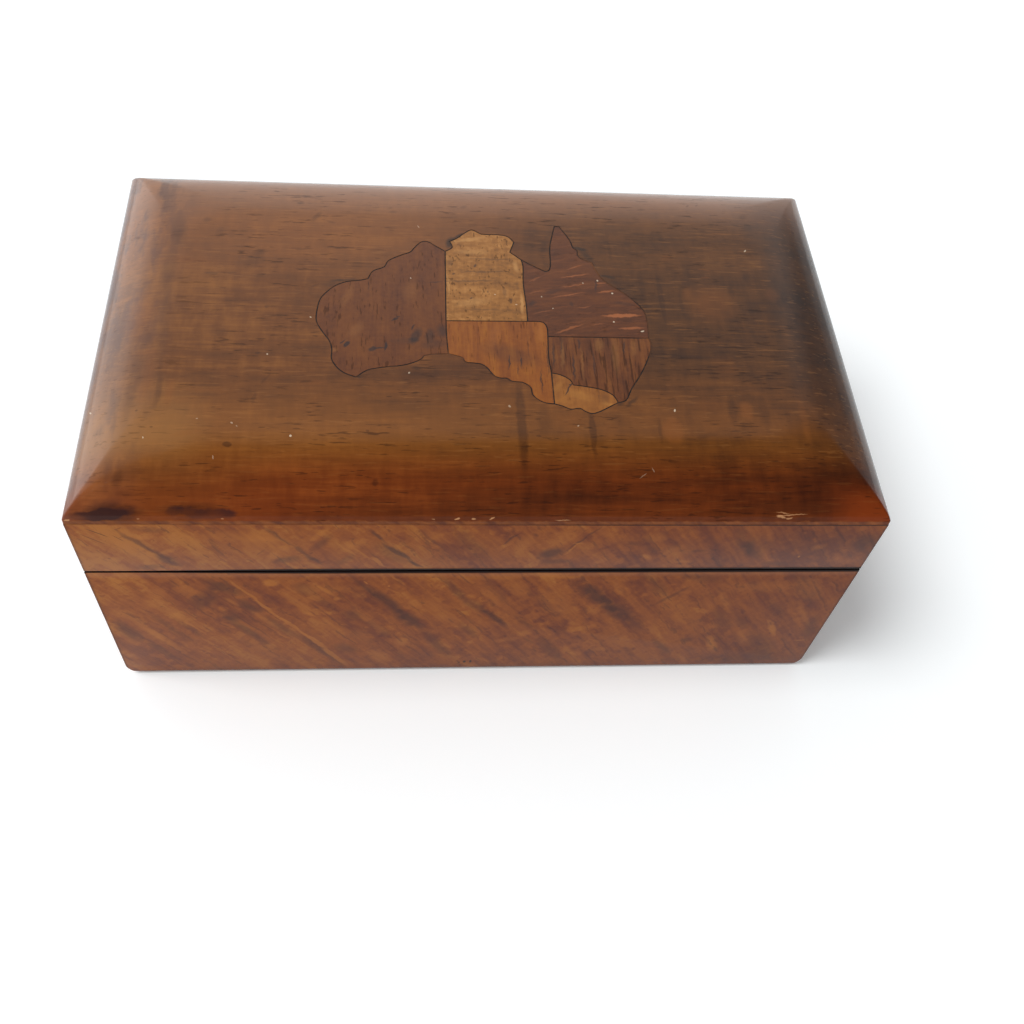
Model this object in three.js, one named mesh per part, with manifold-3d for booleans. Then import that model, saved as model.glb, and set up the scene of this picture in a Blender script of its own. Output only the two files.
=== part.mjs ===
// A wooden box with a hinged lid, 300 mm long. A dovetailed softwood carcase was veneered, sawn
// apart into body and lid, and hinged at the back. The lid's solid top board is moulded as a low
// cushion with mitred corners, and a map in six specimen timbers is let into its flat table.
//
// Millimetres. The origin is the centre of the base, +X to the right, +Y to the hinged back, +Z up.

import * as THREE from "three";
import { mergeVertices } from "three/addons/utils/BufferGeometryUtils.js";
import Module from "manifold-3d";

const wasm = await Module();
wasm.setup();

// Overall sizes
const boxWidth = 300;
const boxDepth = 180;
const bodyHeight = 84.2;
const sawCut = 0.8;
const lidFrameHeight = 31.5;

// Moulded top board: an upright edge, then a quarter ellipse up to the flat table
const lipEdge = 2;
const crownRise = 12;
const crownRun = 32.5;
const crownStart = THREE.MathUtils.degToRad(10);
const crownSteps = 24;

// Carcase boards, veneer and bottom
const wall = 10;
const veneer = 1.2;
const bottomThickness = 7;
const bottomRebate = 5;
const endRound = 7.5;
const frontRound = 2.5;
const roundSteps = 8;

// Dovetails of the carcase corners
const bodyTailCount = 3;
const lidTailCount = 1;
const tailShare = 0.62;
const tailSlope = 1 / 6;

// Map let into the table
const mapScale = 1;
const inlayThickness = 1.6;
const masticLine = 0.5;
const curveSteps = 3;

// Brass butt hinges
const hingeLength = 38;
const hingeFromEnd = 36;
const pinInset = 2.4;
const pinRadius = 1;
const knuckleRadius = 2.2;
const knuckleCount = 5;
const leafWidth = 7;
const leafThickness = 1.2;
const stopAngle = 100;
const roundSides = 24;

// Countersunk screws in the leaves
const screwsPerLeaf = 3;
const screwSpacing = 13;
const screwLength = 8;
const screwPoint = 2;
const headRadius = 1.8;
const shankRadius = 0.9;
const slotWidth = 0.5;
const slotDepth = 0.35;
const screwSides = 16;

// Clearances
const fitGap = 0.3;
const screwGap = 0.15;
const overshoot = 1;

// Places worked out from the sizes
const outerX = boxWidth / 2;
const outerY = boxDepth / 2;
const coreX = outerX - veneer;
const coreY = outerY - veneer;
const innerX = coreX - wall;
const innerY = coreY - wall;
const jointHeight = bodyHeight + sawCut / 2;
const lidFrameBase = bodyHeight + sawCut;
const lidFrameTop = lidFrameBase + lidFrameHeight;
const lipHeight = lidFrameTop + lipEdge;
const tableHeight = lipHeight + crownRise;
const pinY = outerY - pinInset;
const leafEnd = pinY - leafWidth;
const knuckleRoom = knuckleRadius + fitGap;
const screwY = (leafEnd + pinY - knuckleRoom) / 2;
const chamferAngle = THREE.MathUtils.degToRad(stopAngle / 2 + 1);
const hingeCentre = outerX - hingeFromEnd - hingeLength / 2;

// The two halves of the sawn carcase
const BODY = { side: -1, low: 0, high: bodyHeight, tailLow: bottomThickness, tails: bodyTailCount };
const LID = { side: 1, low: lidFrameBase, high: lidFrameTop, tailLow: lidFrameBase, tails: lidTailCount };

const LEFT = -1;
const RIGHT = 1;
const FRONT = -1;
const BACK = 1;

// Finishes
const finishes = {
  topBoard: { color: 0x6f4a31, roughness: 0.38, metalness: 0 },
  frieze: { color: 0x8a5a3d, roughness: 0.42, metalness: 0 },
  carcase: { color: 0x9a6a48, roughness: 0.75, metalness: 0 },
  brass: { color: 0xb08d4f, roughness: 0.35, metalness: 0.9 },
  steelPin: { color: 0x8c8880, roughness: 0.35, metalness: 0.9 },
  western: { color: 0x744c38, roughness: 0.4, metalness: 0 },
  northern: { color: 0x9c7148, roughness: 0.4, metalness: 0 },
  southern: { color: 0x8b5430, roughness: 0.4, metalness: 0 },
  northEastern: { color: 0x6a4433, roughness: 0.4, metalness: 0 },
  eastern: { color: 0x664430, roughness: 0.4, metalness: 0 },
  southEastern: { color: 0x9b6c40, roughness: 0.4, metalness: 0 },
};

// The map's lines in millimetres from the middle of the lid. Each run is one smooth saw cut, and
// runs meet where the line turns sharply. A line between two timbers is written once, for both.
const mapLines = {
  westernCoast: [
    [[-14.5, 37], [-19, 40.5], [-21.5, 42.5], [-24, 42.5], [-27, 39], [-29, 36], [-32, 34.5], [-38, 30.5],
      [-39.5, 27], [-44, 24.5], [-46, 20]],
    [[-46, 20], [-49, 19], [-54.5, 18], [-59, 15.5], [-62.5, 11.5], [-64.5, 8], [-65.5, 2], [-65.5, -4],
      [-63, -9.5], [-60, -14.5], [-59, -19], [-59, -23.5], [-57, -27.5], [-54, -30.5], [-49.5, -32.5]],
    [[-49.5, -32.5], [-45.5, -29], [-40, -27.5], [-31, -26], [-25, -23], [-23.5, -21], [-14.5, -20]],
  ],
  westernBorder: [[[-14.5, -20], [-15, -10]], [[-15, -10], [-15, -2.5]]],
  northWesternBorder: [[[-15, -2.5], [-14.5, 37]]],
  northernCoast: [
    [[-14.5, 37], [-11.5, 39.5], [-12.5, 43]],
    [[-12.5, 43], [-9.5, 45], [-6, 48.5], [-3, 50.5], [1, 48], [6.5, 48], [10.5, 47.5], [12.5, 46.5], [14.5, 43.5]],
    [[14.5, 43.5], [12.5, 37.5]],
    [[12.5, 37.5], [14.5, 35.5], [17, 33]],
  ],
  northEasternBorder: [[[17, 33], [17.5, 29.5], [17, 19], [17.5, 7], [17.5, -2]]],
  northernFoot: [[[17.5, -2], [-15, -2.5]]],
  gulfAndEastCoast: [
    [[17, 33], [21, 30], [26.5, 26.5]],
    [[26.5, 26.5], [28, 27], [29, 30], [29.5, 40.5], [31.5, 50], [32.5, 54]],
    [[32.5, 54], [34.5, 54]],
    [[34.5, 54], [38.5, 45.5], [39.5, 41], [41, 39.5], [41, 36.5], [43, 34], [46.5, 32.5]],
    [[46.5, 32.5], [48, 27], [50.5, 22], [54, 18.5], [58.5, 14.5], [62, 10.5], [65, 6], [66, 0], [65.5, -10]],
  ],
  easternBorder: [[[65.5, -10], [25, -10]]],
  shoulder: [[[25, -10], [25, -5], [23.5, -2.3], [17.5, -2]]],
  eastCoastFoot: [
    [[65.5, -10], [66, -12.5], [65.5, -16.5], [62.5, -24], [59.5, -30], [55.5, -36.5], [52.5, -42.5], [49.5, -43.5]],
  ],
  riverBorder: [
    [[49.5, -43.5], [48, -40], [44.5, -37.5], [41.5, -36.5], [36.5, -35.5], [33, -35]],
    [[33, -35], [32, -32.5], [28.5, -30], [25, -29]],
  ],
  southEastBorder: [[[25, -29], [24.5, -21.5], [25, -10]]],
  southEasternCoast: [
    [[49.5, -43.5], [47, -45], [42, -48], [39, -49], [36.5, -48], [34.5, -46.5], [31, -47], [28, -45.5], [25, -44.5]],
  ],
  footBorder: [[[25, -44.5], [25, -29]]],
  southernCoast: [
    [[25, -44.5], [21.5, -44], [19, -42.5], [17, -40], [16.5, -36.5], [13.5, -34], [9.5, -33.5], [7.5, -32],
      [5.5, -32], [3, -31], [0, -26.5], [-2, -25], [-5, -24.5], [-8, -24], [-9, -22], [-11, -21], [-14.5, -20]],
  ],
};

// Each timber of the map: the lines round it in order, with a minus where the first has to be turned
const mapPieces = [
  { name: "map_western", finish: "western", lines: ["westernCoast", "westernBorder", "northWesternBorder"] },
  {
    name: "map_northern",
    finish: "northern",
    lines: ["northernCoast", "northEasternBorder", "northernFoot", "northWesternBorder"],
  },
  {
    name: "map_southern",
    finish: "southern",
    lines: ["-westernBorder", "southernCoast", "footBorder", "southEastBorder", "shoulder", "northernFoot"],
  },
  {
    name: "map_north_eastern",
    finish: "northEastern",
    lines: ["gulfAndEastCoast", "easternBorder", "shoulder", "northEasternBorder"],
  },
  { name: "map_eastern", finish: "eastern", lines: ["eastCoastFoot", "riverBorder", "southEastBorder", "easternBorder"] },
  { name: "map_south_eastern", finish: "southEastern", lines: ["southEasternCoast", "footBorder", "riverBorder"] },
];

// Solids

function solid(geometry) {
  const bare = geometry.clone();
  bare.deleteAttribute("normal");
  bare.deleteAttribute("uv");
  const merged = mergeVertices(bare, 1e-5);
  const corners = Array.from(merged.index.array);
  const kept = [];
  for (let i = 0; i < corners.length; i += 3) {
    const [a, b, c] = corners.slice(i, i + 3);
    if (a !== b && b !== c && c !== a) kept.push(a, b, c);
  }
  const vertProperties = new Float32Array(merged.attributes.position.array);
  return new wasm.Manifold(new wasm.Mesh({ numProp: 3, vertProperties, triVerts: new Uint32Array(kept) }));
}

function geometryOf(body) {
  const mesh = body.getMesh();
  const geometry = new THREE.BufferGeometry();
  geometry.setAttribute("position", new THREE.BufferAttribute(new Float32Array(mesh.vertProperties), 3));
  geometry.setIndex(new THREE.BufferAttribute(new Uint32Array(mesh.triVerts), 1));
  geometry.computeVertexNormals();
  return geometry;
}

function joined(bodies) {
  return bodies.reduce((whole, next) => whole.add(next));
}

function box(x0, x1, y0, y1, z0, z1) {
  const geometry = new THREE.BoxGeometry(Math.abs(x1 - x0), Math.abs(y1 - y0), Math.abs(z1 - z0));
  geometry.translate((x0 + x1) / 2, (y0 + y1) / 2, (z0 + z1) / 2);
  return solid(geometry);
}

function extruded(points, depth, placing) {
  const shape = new THREE.Shape(points.map(([u, v]) => new THREE.Vector2(u, v)));
  const geometry = new THREE.ExtrudeGeometry(shape, { depth, bevelEnabled: false });
  geometry.applyMatrix4(placing);
  return solid(geometry);
}

// Outline in (y, z), extruded along X
function prismAlongX(points, x0, x1) {
  const turn = new THREE.Matrix4().makeBasis(
    new THREE.Vector3(0, 1, 0), new THREE.Vector3(0, 0, 1), new THREE.Vector3(1, 0, 0));
  return extruded(points, x1 - x0, turn.setPosition(x0, 0, 0));
}

// Outline in (x, z), extruded along Y
function prismAlongY(points, y0, y1) {
  const turn = new THREE.Matrix4().makeBasis(
    new THREE.Vector3(1, 0, 0), new THREE.Vector3(0, 0, 1), new THREE.Vector3(0, -1, 0));
  return extruded(points, y1 - y0, turn.setPosition(0, y1, 0));
}

// Outline in (x, y), extruded upwards
function prismUp(points, z0, z1) {
  return extruded(points, z1 - z0, new THREE.Matrix4().makeTranslation(0, 0, z0));
}

function rodAlongX(radius, x0, x1, y, z, sides) {
  const geometry = new THREE.CylinderGeometry(radius, radius, x1 - x0, sides);
  geometry.rotateZ(Math.PI / 2);
  geometry.translate((x0 + x1) / 2, y, z);
  return solid(geometry);
}

// A ring of rectangles, each given by its half width, half depth and height, closed at both ends
function loftedBoard(rings) {
  const positions = rings.flatMap(({ x, y, z }) => [-x, -y, z, x, -y, z, x, y, z, -x, y, z]);
  const index = [0, 2, 1, 0, 3, 2];
  for (let ring = 0; ring + 1 < rings.length; ring += 1) {
    for (let corner = 0; corner < 4; corner += 1) {
      const next = (corner + 1) % 4;
      const [a, b] = [ring * 4 + corner, ring * 4 + next];
      index.push(a, b, b + 4, a, b + 4, a + 4);
    }
  }
  const top = (rings.length - 1) * 4;
  index.push(top, top + 1, top + 2, top, top + 2, top + 3);
  const geometry = new THREE.BufferGeometry();
  geometry.setAttribute("position", new THREE.BufferAttribute(new Float32Array(positions), 3));
  geometry.setIndex(index);
  return solid(geometry);
}

// Carcase

// Half width of a tail at a distance out from the inner face of the board it joins
function tailHalfWidth(half, out) {
  const tip = (tailShare * (half.high - half.tailLow)) / half.tails / 2;
  return tip - tailSlope * (wall - out);
}

// The tails at one end of one side wall, or with a gap, the sockets that take them
function tailPrisms(half, side, end, gap, xOut, yOut) {
  const pitch = (half.high - half.tailLow) / half.tails;
  const xFaces = [side * innerX, side * (coreX + xOut)].sort((a, b) => a - b);
  const prisms = [];
  for (let tail = 0; tail < half.tails; tail += 1) {
    const middle = half.tailLow + (tail + 0.5) * pitch;
    const root = tailHalfWidth(half, -overshoot) + gap;
    const tip = tailHalfWidth(half, wall + yOut) + gap;
    const yRoot = end * (innerY - overshoot);
    const yTip = end * (coreY + yOut);
    const outline = [[yRoot, middle - root], [yTip, middle - tip], [yTip, middle + tip], [yRoot, middle + root]];
    prisms.push(prismAlongX(outline, xFaces[0], xFaces[1]));
  }
  return joined(prisms);
}

function sideWall(half, side) {
  const board = box(side * innerX, side * coreX, -innerY, innerY, half.low, half.high);
  const tails = [FRONT, BACK].map((end) => tailPrisms(half, side, end, 0, 0, 0));
  return joined([board, ...tails]);
}

function endWall(half, end) {
  const board = box(-coreX, coreX, end * innerY, end * coreY, half.low, half.high);
  const sockets = [LEFT, RIGHT].map((side) => tailPrisms(half, side, end, fitGap, overshoot, overshoot));
  return board.subtract(joined(sockets));
}

function sideVeneer(half, side) {
  return box(side * coreX, side * outerX, -coreY, coreY, half.low, half.high);
}

function endVeneer(half, end) {
  return box(-outerX, outerX, end * coreY, end * outerY, half.low, half.high);
}

// What a round-over takes off below an edge at the given half width: points in (out, up)
function roundOverWaste(reach, radius, sign) {
  const points = [[reach + overshoot, -overshoot], [reach + overshoot, radius]];
  for (let step = 0; step <= roundSteps; step += 1) {
    const angle = (step / roundSteps) * (Math.PI / 2);
    const out = reach - radius + radius * Math.cos(angle);
    points.push([out, radius - radius * Math.sin(angle)]);
  }
  points.push([reach - radius, -overshoot]);
  return points.map(([out, up]) => [sign * out, up]);
}

function bottomEdgeWaste() {
  const ends = [LEFT, RIGHT].map((side) =>
    prismAlongY(roundOverWaste(outerX, endRound, side), -outerY - overshoot, outerY + overshoot));
  const longEdges = [FRONT, BACK].map((end) =>
    prismAlongX(roundOverWaste(outerY, frontRound, end), -outerX - overshoot, outerX + overshoot));
  return joined([...ends, ...longEdges]);
}

function bottomRebateWaste() {
  const reachX = innerX + bottomRebate;
  const reachY = innerY + bottomRebate;
  return box(-reachX, reachX, -reachY, reachY, -overshoot, bottomThickness);
}

function bottomBoard() {
  const reachX = innerX + bottomRebate - fitGap;
  const reachY = innerY + bottomRebate - fitGap;
  return box(-reachX, reachX, -reachY, reachY, 0, bottomThickness).subtract(bottomEdgeWaste());
}

// The back edge is chamfered from the hinge line outwards, and the two chamfers meet as the stop
function stopChamferWaste(half) {
  const near = jointHeight + (half.side * sawCut) / 2;
  const reach = pinInset + overshoot;
  const far = near + half.side * reach * Math.tan(chamferAngle);
  const outline = [[pinY, near], [pinY, jointHeight], [pinY + reach, jointHeight], [pinY + reach, far]];
  return prismAlongX(outline, -outerX - overshoot, outerX + overshoot);
}

// Hinges

function screwPlaces(centre) {
  const middle = (screwsPerLeaf - 1) / 2;
  return Array.from({ length: screwsPerLeaf }, (_, index) => centre + (index - middle) * screwSpacing);
}

// Face of a leaf that lies flush with the sawn edge
function leafFace(half) {
  return jointHeight + (half.side * sawCut) / 2;
}

// A revolved form on a vertical axis, its profile given as (radius, distance in from the leaf's face)
function turned(profile, half, x, gap) {
  const points = profile.map(([radius, depth]) => new THREE.Vector2(radius > 0 ? radius + gap : 0, -depth));
  const geometry = new THREE.LatheGeometry(points, screwSides);
  geometry.rotateX(half.side < 0 ? Math.PI / 2 : -Math.PI / 2);
  geometry.translate(x, screwY, leafFace(half));
  return solid(geometry);
}

function screw(half, x) {
  const neck = headRadius - shankRadius;
  const profile = [
    [0, screwLength], [shankRadius, screwLength - screwPoint], [shankRadius, neck], [headRadius, 0], [0, 0],
  ];
  const face = leafFace(half);
  const slot = box(
    x - headRadius - overshoot, x + headRadius + overshoot,
    screwY - slotWidth / 2, screwY + slotWidth / 2,
    face - half.side * overshoot, face + half.side * slotDepth);
  return turned(profile, half, x, 0).subtract(slot);
}

// The countersunk hole in a leaf and the pilot hole behind it
function screwHole(half, x) {
  const neck = headRadius - shankRadius;
  const profile = [
    [0, screwLength + fitGap], [shankRadius, screwLength + fitGap], [shankRadius, neck + screwGap],
    [headRadius + screwGap, 0], [headRadius + screwGap, -overshoot], [0, -overshoot],
  ];
  return turned(profile, half, x, screwGap);
}

function knuckleSpans(centre) {
  const pitch = (hingeLength + fitGap) / knuckleCount;
  return Array.from({ length: knuckleCount }, (_, index) => {
    const start = centre - hingeLength / 2 + index * pitch;
    return [start, start + pitch - fitGap];
  });
}

// The body's leaf has the outer knuckles and every second one, the lid's has those between
function leaf(half, centre) {
  const face = leafFace(half);
  const back = face + half.side * leafThickness;
  const plate = box(centre - hingeLength / 2, centre + hingeLength / 2, leafEnd, pinY, face, back);
  const spans = knuckleSpans(centre);
  const isOwn = (index) => (index % 2 === 0) === (half === BODY);
  const own = spans.filter((_, index) => isOwn(index));
  const others = spans.filter((_, index) => !isOwn(index));
  const knuckles = own.map(([x0, x1]) => rodAlongX(knuckleRadius, x0, x1, pinY, jointHeight, roundSides));
  const rooms = others.map(([x0, x1]) =>
    box(x0 - fitGap, x1 + fitGap, pinY - knuckleRoom, pinY + knuckleRoom, jointHeight - knuckleRoom,
      jointHeight + knuckleRoom));
  const bore = rodAlongX(
    pinRadius + fitGap, centre - hingeLength, centre + hingeLength, pinY, jointHeight, roundSides);
  const holes = screwPlaces(centre).map((x) => screwHole(half, x));
  return joined([plate.subtract(joined(rooms)), ...knuckles]).subtract(joined([bore, ...holes]));
}

function hingePin(centre) {
  return rodAlongX(pinRadius, centre - hingeLength / 2, centre + hingeLength / 2, pinY, jointHeight, screwSides);
}

// What the wood loses to one leaf: its mortise, the room for the barrel and the pilot holes
function hingeWaste(half, centre) {
  const reach = hingeLength / 2 + fitGap;
  const floor = leafFace(half) + half.side * leafThickness;
  const mortise = box(centre - reach, centre + reach, leafEnd - fitGap, pinY, jointHeight, floor);
  const barrel = rodAlongX(knuckleRoom + fitGap / 2, centre - reach, centre + reach, pinY, jointHeight, roundSides);
  const holes = screwPlaces(centre).map((x) => screwHole(half, x));
  return joined([mortise, barrel, ...holes]);
}

function backEdgeWaste(half) {
  const hinges = [LEFT, RIGHT].map((side) => hingeWaste(half, side * hingeCentre));
  return joined([stopChamferWaste(half), ...hinges]);
}

// Lid board and map

function crownRings() {
  const run = crownRun / Math.cos(crownStart);
  const rise = crownRise / (1 - Math.sin(crownStart));
  const rings = [{ x: outerX, y: outerY, z: lidFrameTop }];
  for (let step = 0; step <= crownSteps; step += 1) {
    const angle = crownStart + (step / crownSteps) * (Math.PI / 2 - crownStart);
    const inset = crownRun - run * Math.cos(angle);
    const up = rise * (Math.sin(angle) - Math.sin(crownStart));
    rings.push({ x: outerX - inset, y: outerY - inset, z: lipHeight + up });
  }
  return rings;
}

// One smooth run of a map line: its ends kept, and a curve through the points between
function runPoints(run) {
  const points = run.map(([x, y]) => new THREE.Vector3(x * mapScale, y * mapScale, 0));
  if (points.length === 2) return points;
  const curve = new THREE.CatmullRomCurve3(points, false, "centripetal");
  return curve.getPoints((points.length - 1) * curveSteps);
}

function linePoints(name) {
  const backwards = name.startsWith("-");
  const runs = mapLines[backwards ? name.slice(1) : name];
  const points = runs.flatMap((run) => runPoints(run));
  return backwards ? points.reverse() : points;
}

// Lines that were drawn the other way round for their neighbour are turned to join end to end
function outlineOf(piece) {
  const outline = [];
  for (const name of piece.lines) {
    const points = linePoints(name);
    const last = outline.at(-1);
    if (last && last.distanceTo(points[0]) > last.distanceTo(points.at(-1))) points.reverse();
    for (const point of points) {
      if (!outline.length || outline.at(-1).distanceTo(point) > 0.01) outline.push(point);
    }
  }
  if (outline[0].distanceTo(outline.at(-1)) < 0.01) outline.pop();
  const flat = outline.map((point) => new THREE.Vector2(point.x, point.y));
  return THREE.ShapeUtils.isClockWise(flat) ? flat.reverse() : flat;
}

// The outline moved outwards by a distance, or inwards by a negative one
function offsetOutline(outline, distance) {
  const count = outline.length;
  return outline.map((point, index) => {
    const before = point.clone().sub(outline[(index + count - 1) % count]).normalize();
    const after = outline[(index + 1) % count].clone().sub(point).normalize();
    const outBefore = new THREE.Vector2(before.y, -before.x);
    const outAfter = new THREE.Vector2(after.y, -after.x);
    const out = outBefore.add(outAfter).normalize();
    const lean = Math.max(0.5, out.dot(outAfter));
    return [point.x + (out.x * distance) / lean, point.y + (out.y * distance) / lean];
  });
}

function inlayPiece(piece, board) {
  const outline = offsetOutline(outlineOf(piece), -masticLine / 2);
  return prismUp(outline, tableHeight - inlayThickness, tableHeight + overshoot).intersect(board);
}

function mapRecess() {
  const pockets = mapPieces.map((piece) =>
    prismUp(offsetOutline(outlineOf(piece), masticLine / 2), tableHeight - inlayThickness, tableHeight + overshoot));
  return joined(pockets);
}

// Assembly

const woodenBox = new THREE.Group();

function addPiece(name, body, finishName) {
  const material = new THREE.MeshStandardMaterial(finishes[finishName]);
  const mesh = new THREE.Mesh(geometryOf(body), material);
  mesh.name = name;
  woodenBox.add(mesh);
}

function addCarcase(prefix, half, longWaste, sideWaste) {
  for (const [word, end] of [["front", FRONT], ["back", BACK]]) {
    const waste = end === BACK ? joined([longWaste, backEdgeWaste(half)]) : longWaste;
    addPiece(`${prefix}_${word}_wall`, endWall(half, end).subtract(waste), "carcase");
    addPiece(`${prefix}_${word}_veneer`, endVeneer(half, end).subtract(waste), "frieze");
  }
  const waste = joined([sideWaste, stopChamferWaste(half)]);
  for (const [word, side] of [["left", LEFT], ["right", RIGHT]]) {
    addPiece(`${prefix}_${word}_wall`, sideWall(half, side).subtract(waste), "carcase");
    addPiece(`${prefix}_${word}_veneer`, sideVeneer(half, side).subtract(waste), "frieze");
  }
}

function addHinge(word, side) {
  const centre = side * hingeCentre;
  addPiece(`hinge_${word}_pin`, hingePin(centre), "steelPin");
  for (const [prefix, half] of [["body", BODY], ["lid", LID]]) {
    addPiece(`hinge_${word}_${prefix}_leaf`, leaf(half, centre), "brass");
    screwPlaces(centre).forEach((x, index) => {
      addPiece(`hinge_${word}_${prefix}_screw_${index + 1}`, screw(half, x), "brass");
    });
  }
}

const bodyWaste = joined([bottomEdgeWaste(), bottomRebateWaste()]);
addCarcase("body", BODY, bodyWaste, bodyWaste);
addPiece("body_bottom_board", bottomBoard(), "carcase");
addCarcase("lid", LID, stopChamferWaste(LID), stopChamferWaste(LID));

const plainBoard = loftedBoard(crownRings());
addPiece("lid_top_board", plainBoard.subtract(mapRecess()), "topBoard");
for (const piece of mapPieces) {
  addPiece(piece.name, inlayPiece(piece, plainBoard), piece.finish);
}

addHinge("left", LEFT);
addHinge("right", RIGHT);

export default woodenBox;
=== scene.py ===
"""Looks of a hinged wooden box with a map let into its lid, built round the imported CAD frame.

Lengths in the dataclasses of pieces are metres, as in the frame. Patterns in the finishes are in
millimetres, because grain, pores and stains are read and judged at that scale.
"""

from __future__ import annotations

import logging
import math
from collections.abc import Callable, Iterable
from dataclasses import dataclass, field
from enum import Enum
from types import TracebackType
from typing import Any

import bmesh
import bpy
from mathutils import Matrix, Vector


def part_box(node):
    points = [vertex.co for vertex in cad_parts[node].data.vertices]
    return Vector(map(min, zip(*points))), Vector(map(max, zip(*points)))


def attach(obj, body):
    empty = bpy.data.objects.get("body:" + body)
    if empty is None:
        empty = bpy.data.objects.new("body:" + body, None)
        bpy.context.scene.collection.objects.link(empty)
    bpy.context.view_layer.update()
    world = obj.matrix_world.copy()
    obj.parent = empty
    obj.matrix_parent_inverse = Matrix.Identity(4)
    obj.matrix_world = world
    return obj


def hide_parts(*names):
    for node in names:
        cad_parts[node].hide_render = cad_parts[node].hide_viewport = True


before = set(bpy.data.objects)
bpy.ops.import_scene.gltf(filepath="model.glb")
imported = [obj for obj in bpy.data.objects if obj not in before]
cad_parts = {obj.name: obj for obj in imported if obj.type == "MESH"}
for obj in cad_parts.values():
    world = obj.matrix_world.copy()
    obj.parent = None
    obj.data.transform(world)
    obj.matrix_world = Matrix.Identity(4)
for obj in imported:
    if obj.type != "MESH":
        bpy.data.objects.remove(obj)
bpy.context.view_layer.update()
MM = 0.001
TOUCH = 0.01 * MM
UPWARD = 0.9
UNDER_POLISH = 0.1

Colour = tuple[float, float, float]
log = logging.getLogger("wooden_box")


def srgb(code: str) -> Colour:
    """Turn a six-figure display colour into the linear values that shaders take.

    Args:
        code: Six hexadecimal figures, red first.

    Returns:
        Linear red, green and blue from 0 to 1.
    """
    shares = [int(code[i : i + 2], 16) / 255 for i in (0, 2, 4)]
    bent = [s / 12.92 if s <= 0.04045 else ((s + 0.055) / 1.055) ** 2.4 for s in shares]
    return bent[0], bent[1], bent[2]


class Socket:
    """An output socket that takes part in Python arithmetic."""

    def __init__(self, sheet: Sheet, plug: bpy.types.NodeSocket) -> None:
        """Keep the sheet that the socket is on, and the socket itself."""
        self.sheet = sheet
        self.plug = plug

    def __add__(self, other: Socket | float) -> Socket:
        """Add a socket or a number."""
        return self.sheet.maths("ADD", self, other)

    __radd__ = __add__

    def __mul__(self, other: Socket | float) -> Socket:
        """Multiply by a socket or a number."""
        return self.sheet.maths("MULTIPLY", self, other)

    __rmul__ = __mul__

    def __sub__(self, other: Socket | float) -> Socket:
        """Take away a socket or a number."""
        return self.sheet.maths("SUBTRACT", self, other)

    def __rsub__(self, other: Socket | float) -> Socket:
        """Take this socket away from a number."""
        return self.sheet.maths("SUBTRACT", other, self)

    def __truediv__(self, other: Socket | float) -> Socket:
        """Divide by a socket or a number."""
        return self.sheet.maths("DIVIDE", self, other)

    def __abs__(self) -> Socket:
        """Drop the sign."""
        return self.sheet.maths("ABSOLUTE", self)

    def clamped(self) -> Socket:
        """Keep the value from 0 to 1."""
        return self.sheet.maths("ADD", self, 0.0, clamp=True)

    def rising(self, low: float, high: float) -> Socket:
        """Turn the value into a smooth step from 0 at low to 1 at high."""
        return self.sheet.node(
            "ShaderNodeMapRange",
            {"interpolation_type": "SMOOTHSTEP"},
            {"Value": self, "From Min": low, "From Max": high},
        )

    def falling(self, low: float, high: float) -> Socket:
        """Turn the value into a smooth step from 1 at low to 0 at high."""
        return 1 - self.rising(low, high)


@dataclass(frozen=True)
class Mark:
    """A soft oval mark on a face, in millimetres: a streak of figure, a stain, a knot or a chip.

    lean is the angle of its length in degrees, positive where it rises to the right. crisp is how
    steeply the mark comes up from its edge: 1 is a cone, 4 is a nearly even patch.
    """

    across: float
    up: float
    length: float
    width: float
    lean: float = 0.0
    depth: float = 1.0
    crisp: float = 1.6


def marked(*rows: tuple[float, ...]) -> tuple[Mark, ...]:
    """Make marks from rows of their values, with the usual ones at the end left off."""
    return tuple(Mark(*row) for row in rows)


def mirrored(marks: Iterable[Mark]) -> tuple[Mark, ...]:
    """Move marks to the other side of the middle, with their own lean and the usual crispness."""
    return tuple(Mark(-m.across, m.up, m.length, m.width, m.lean, m.depth) for m in marks)


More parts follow.
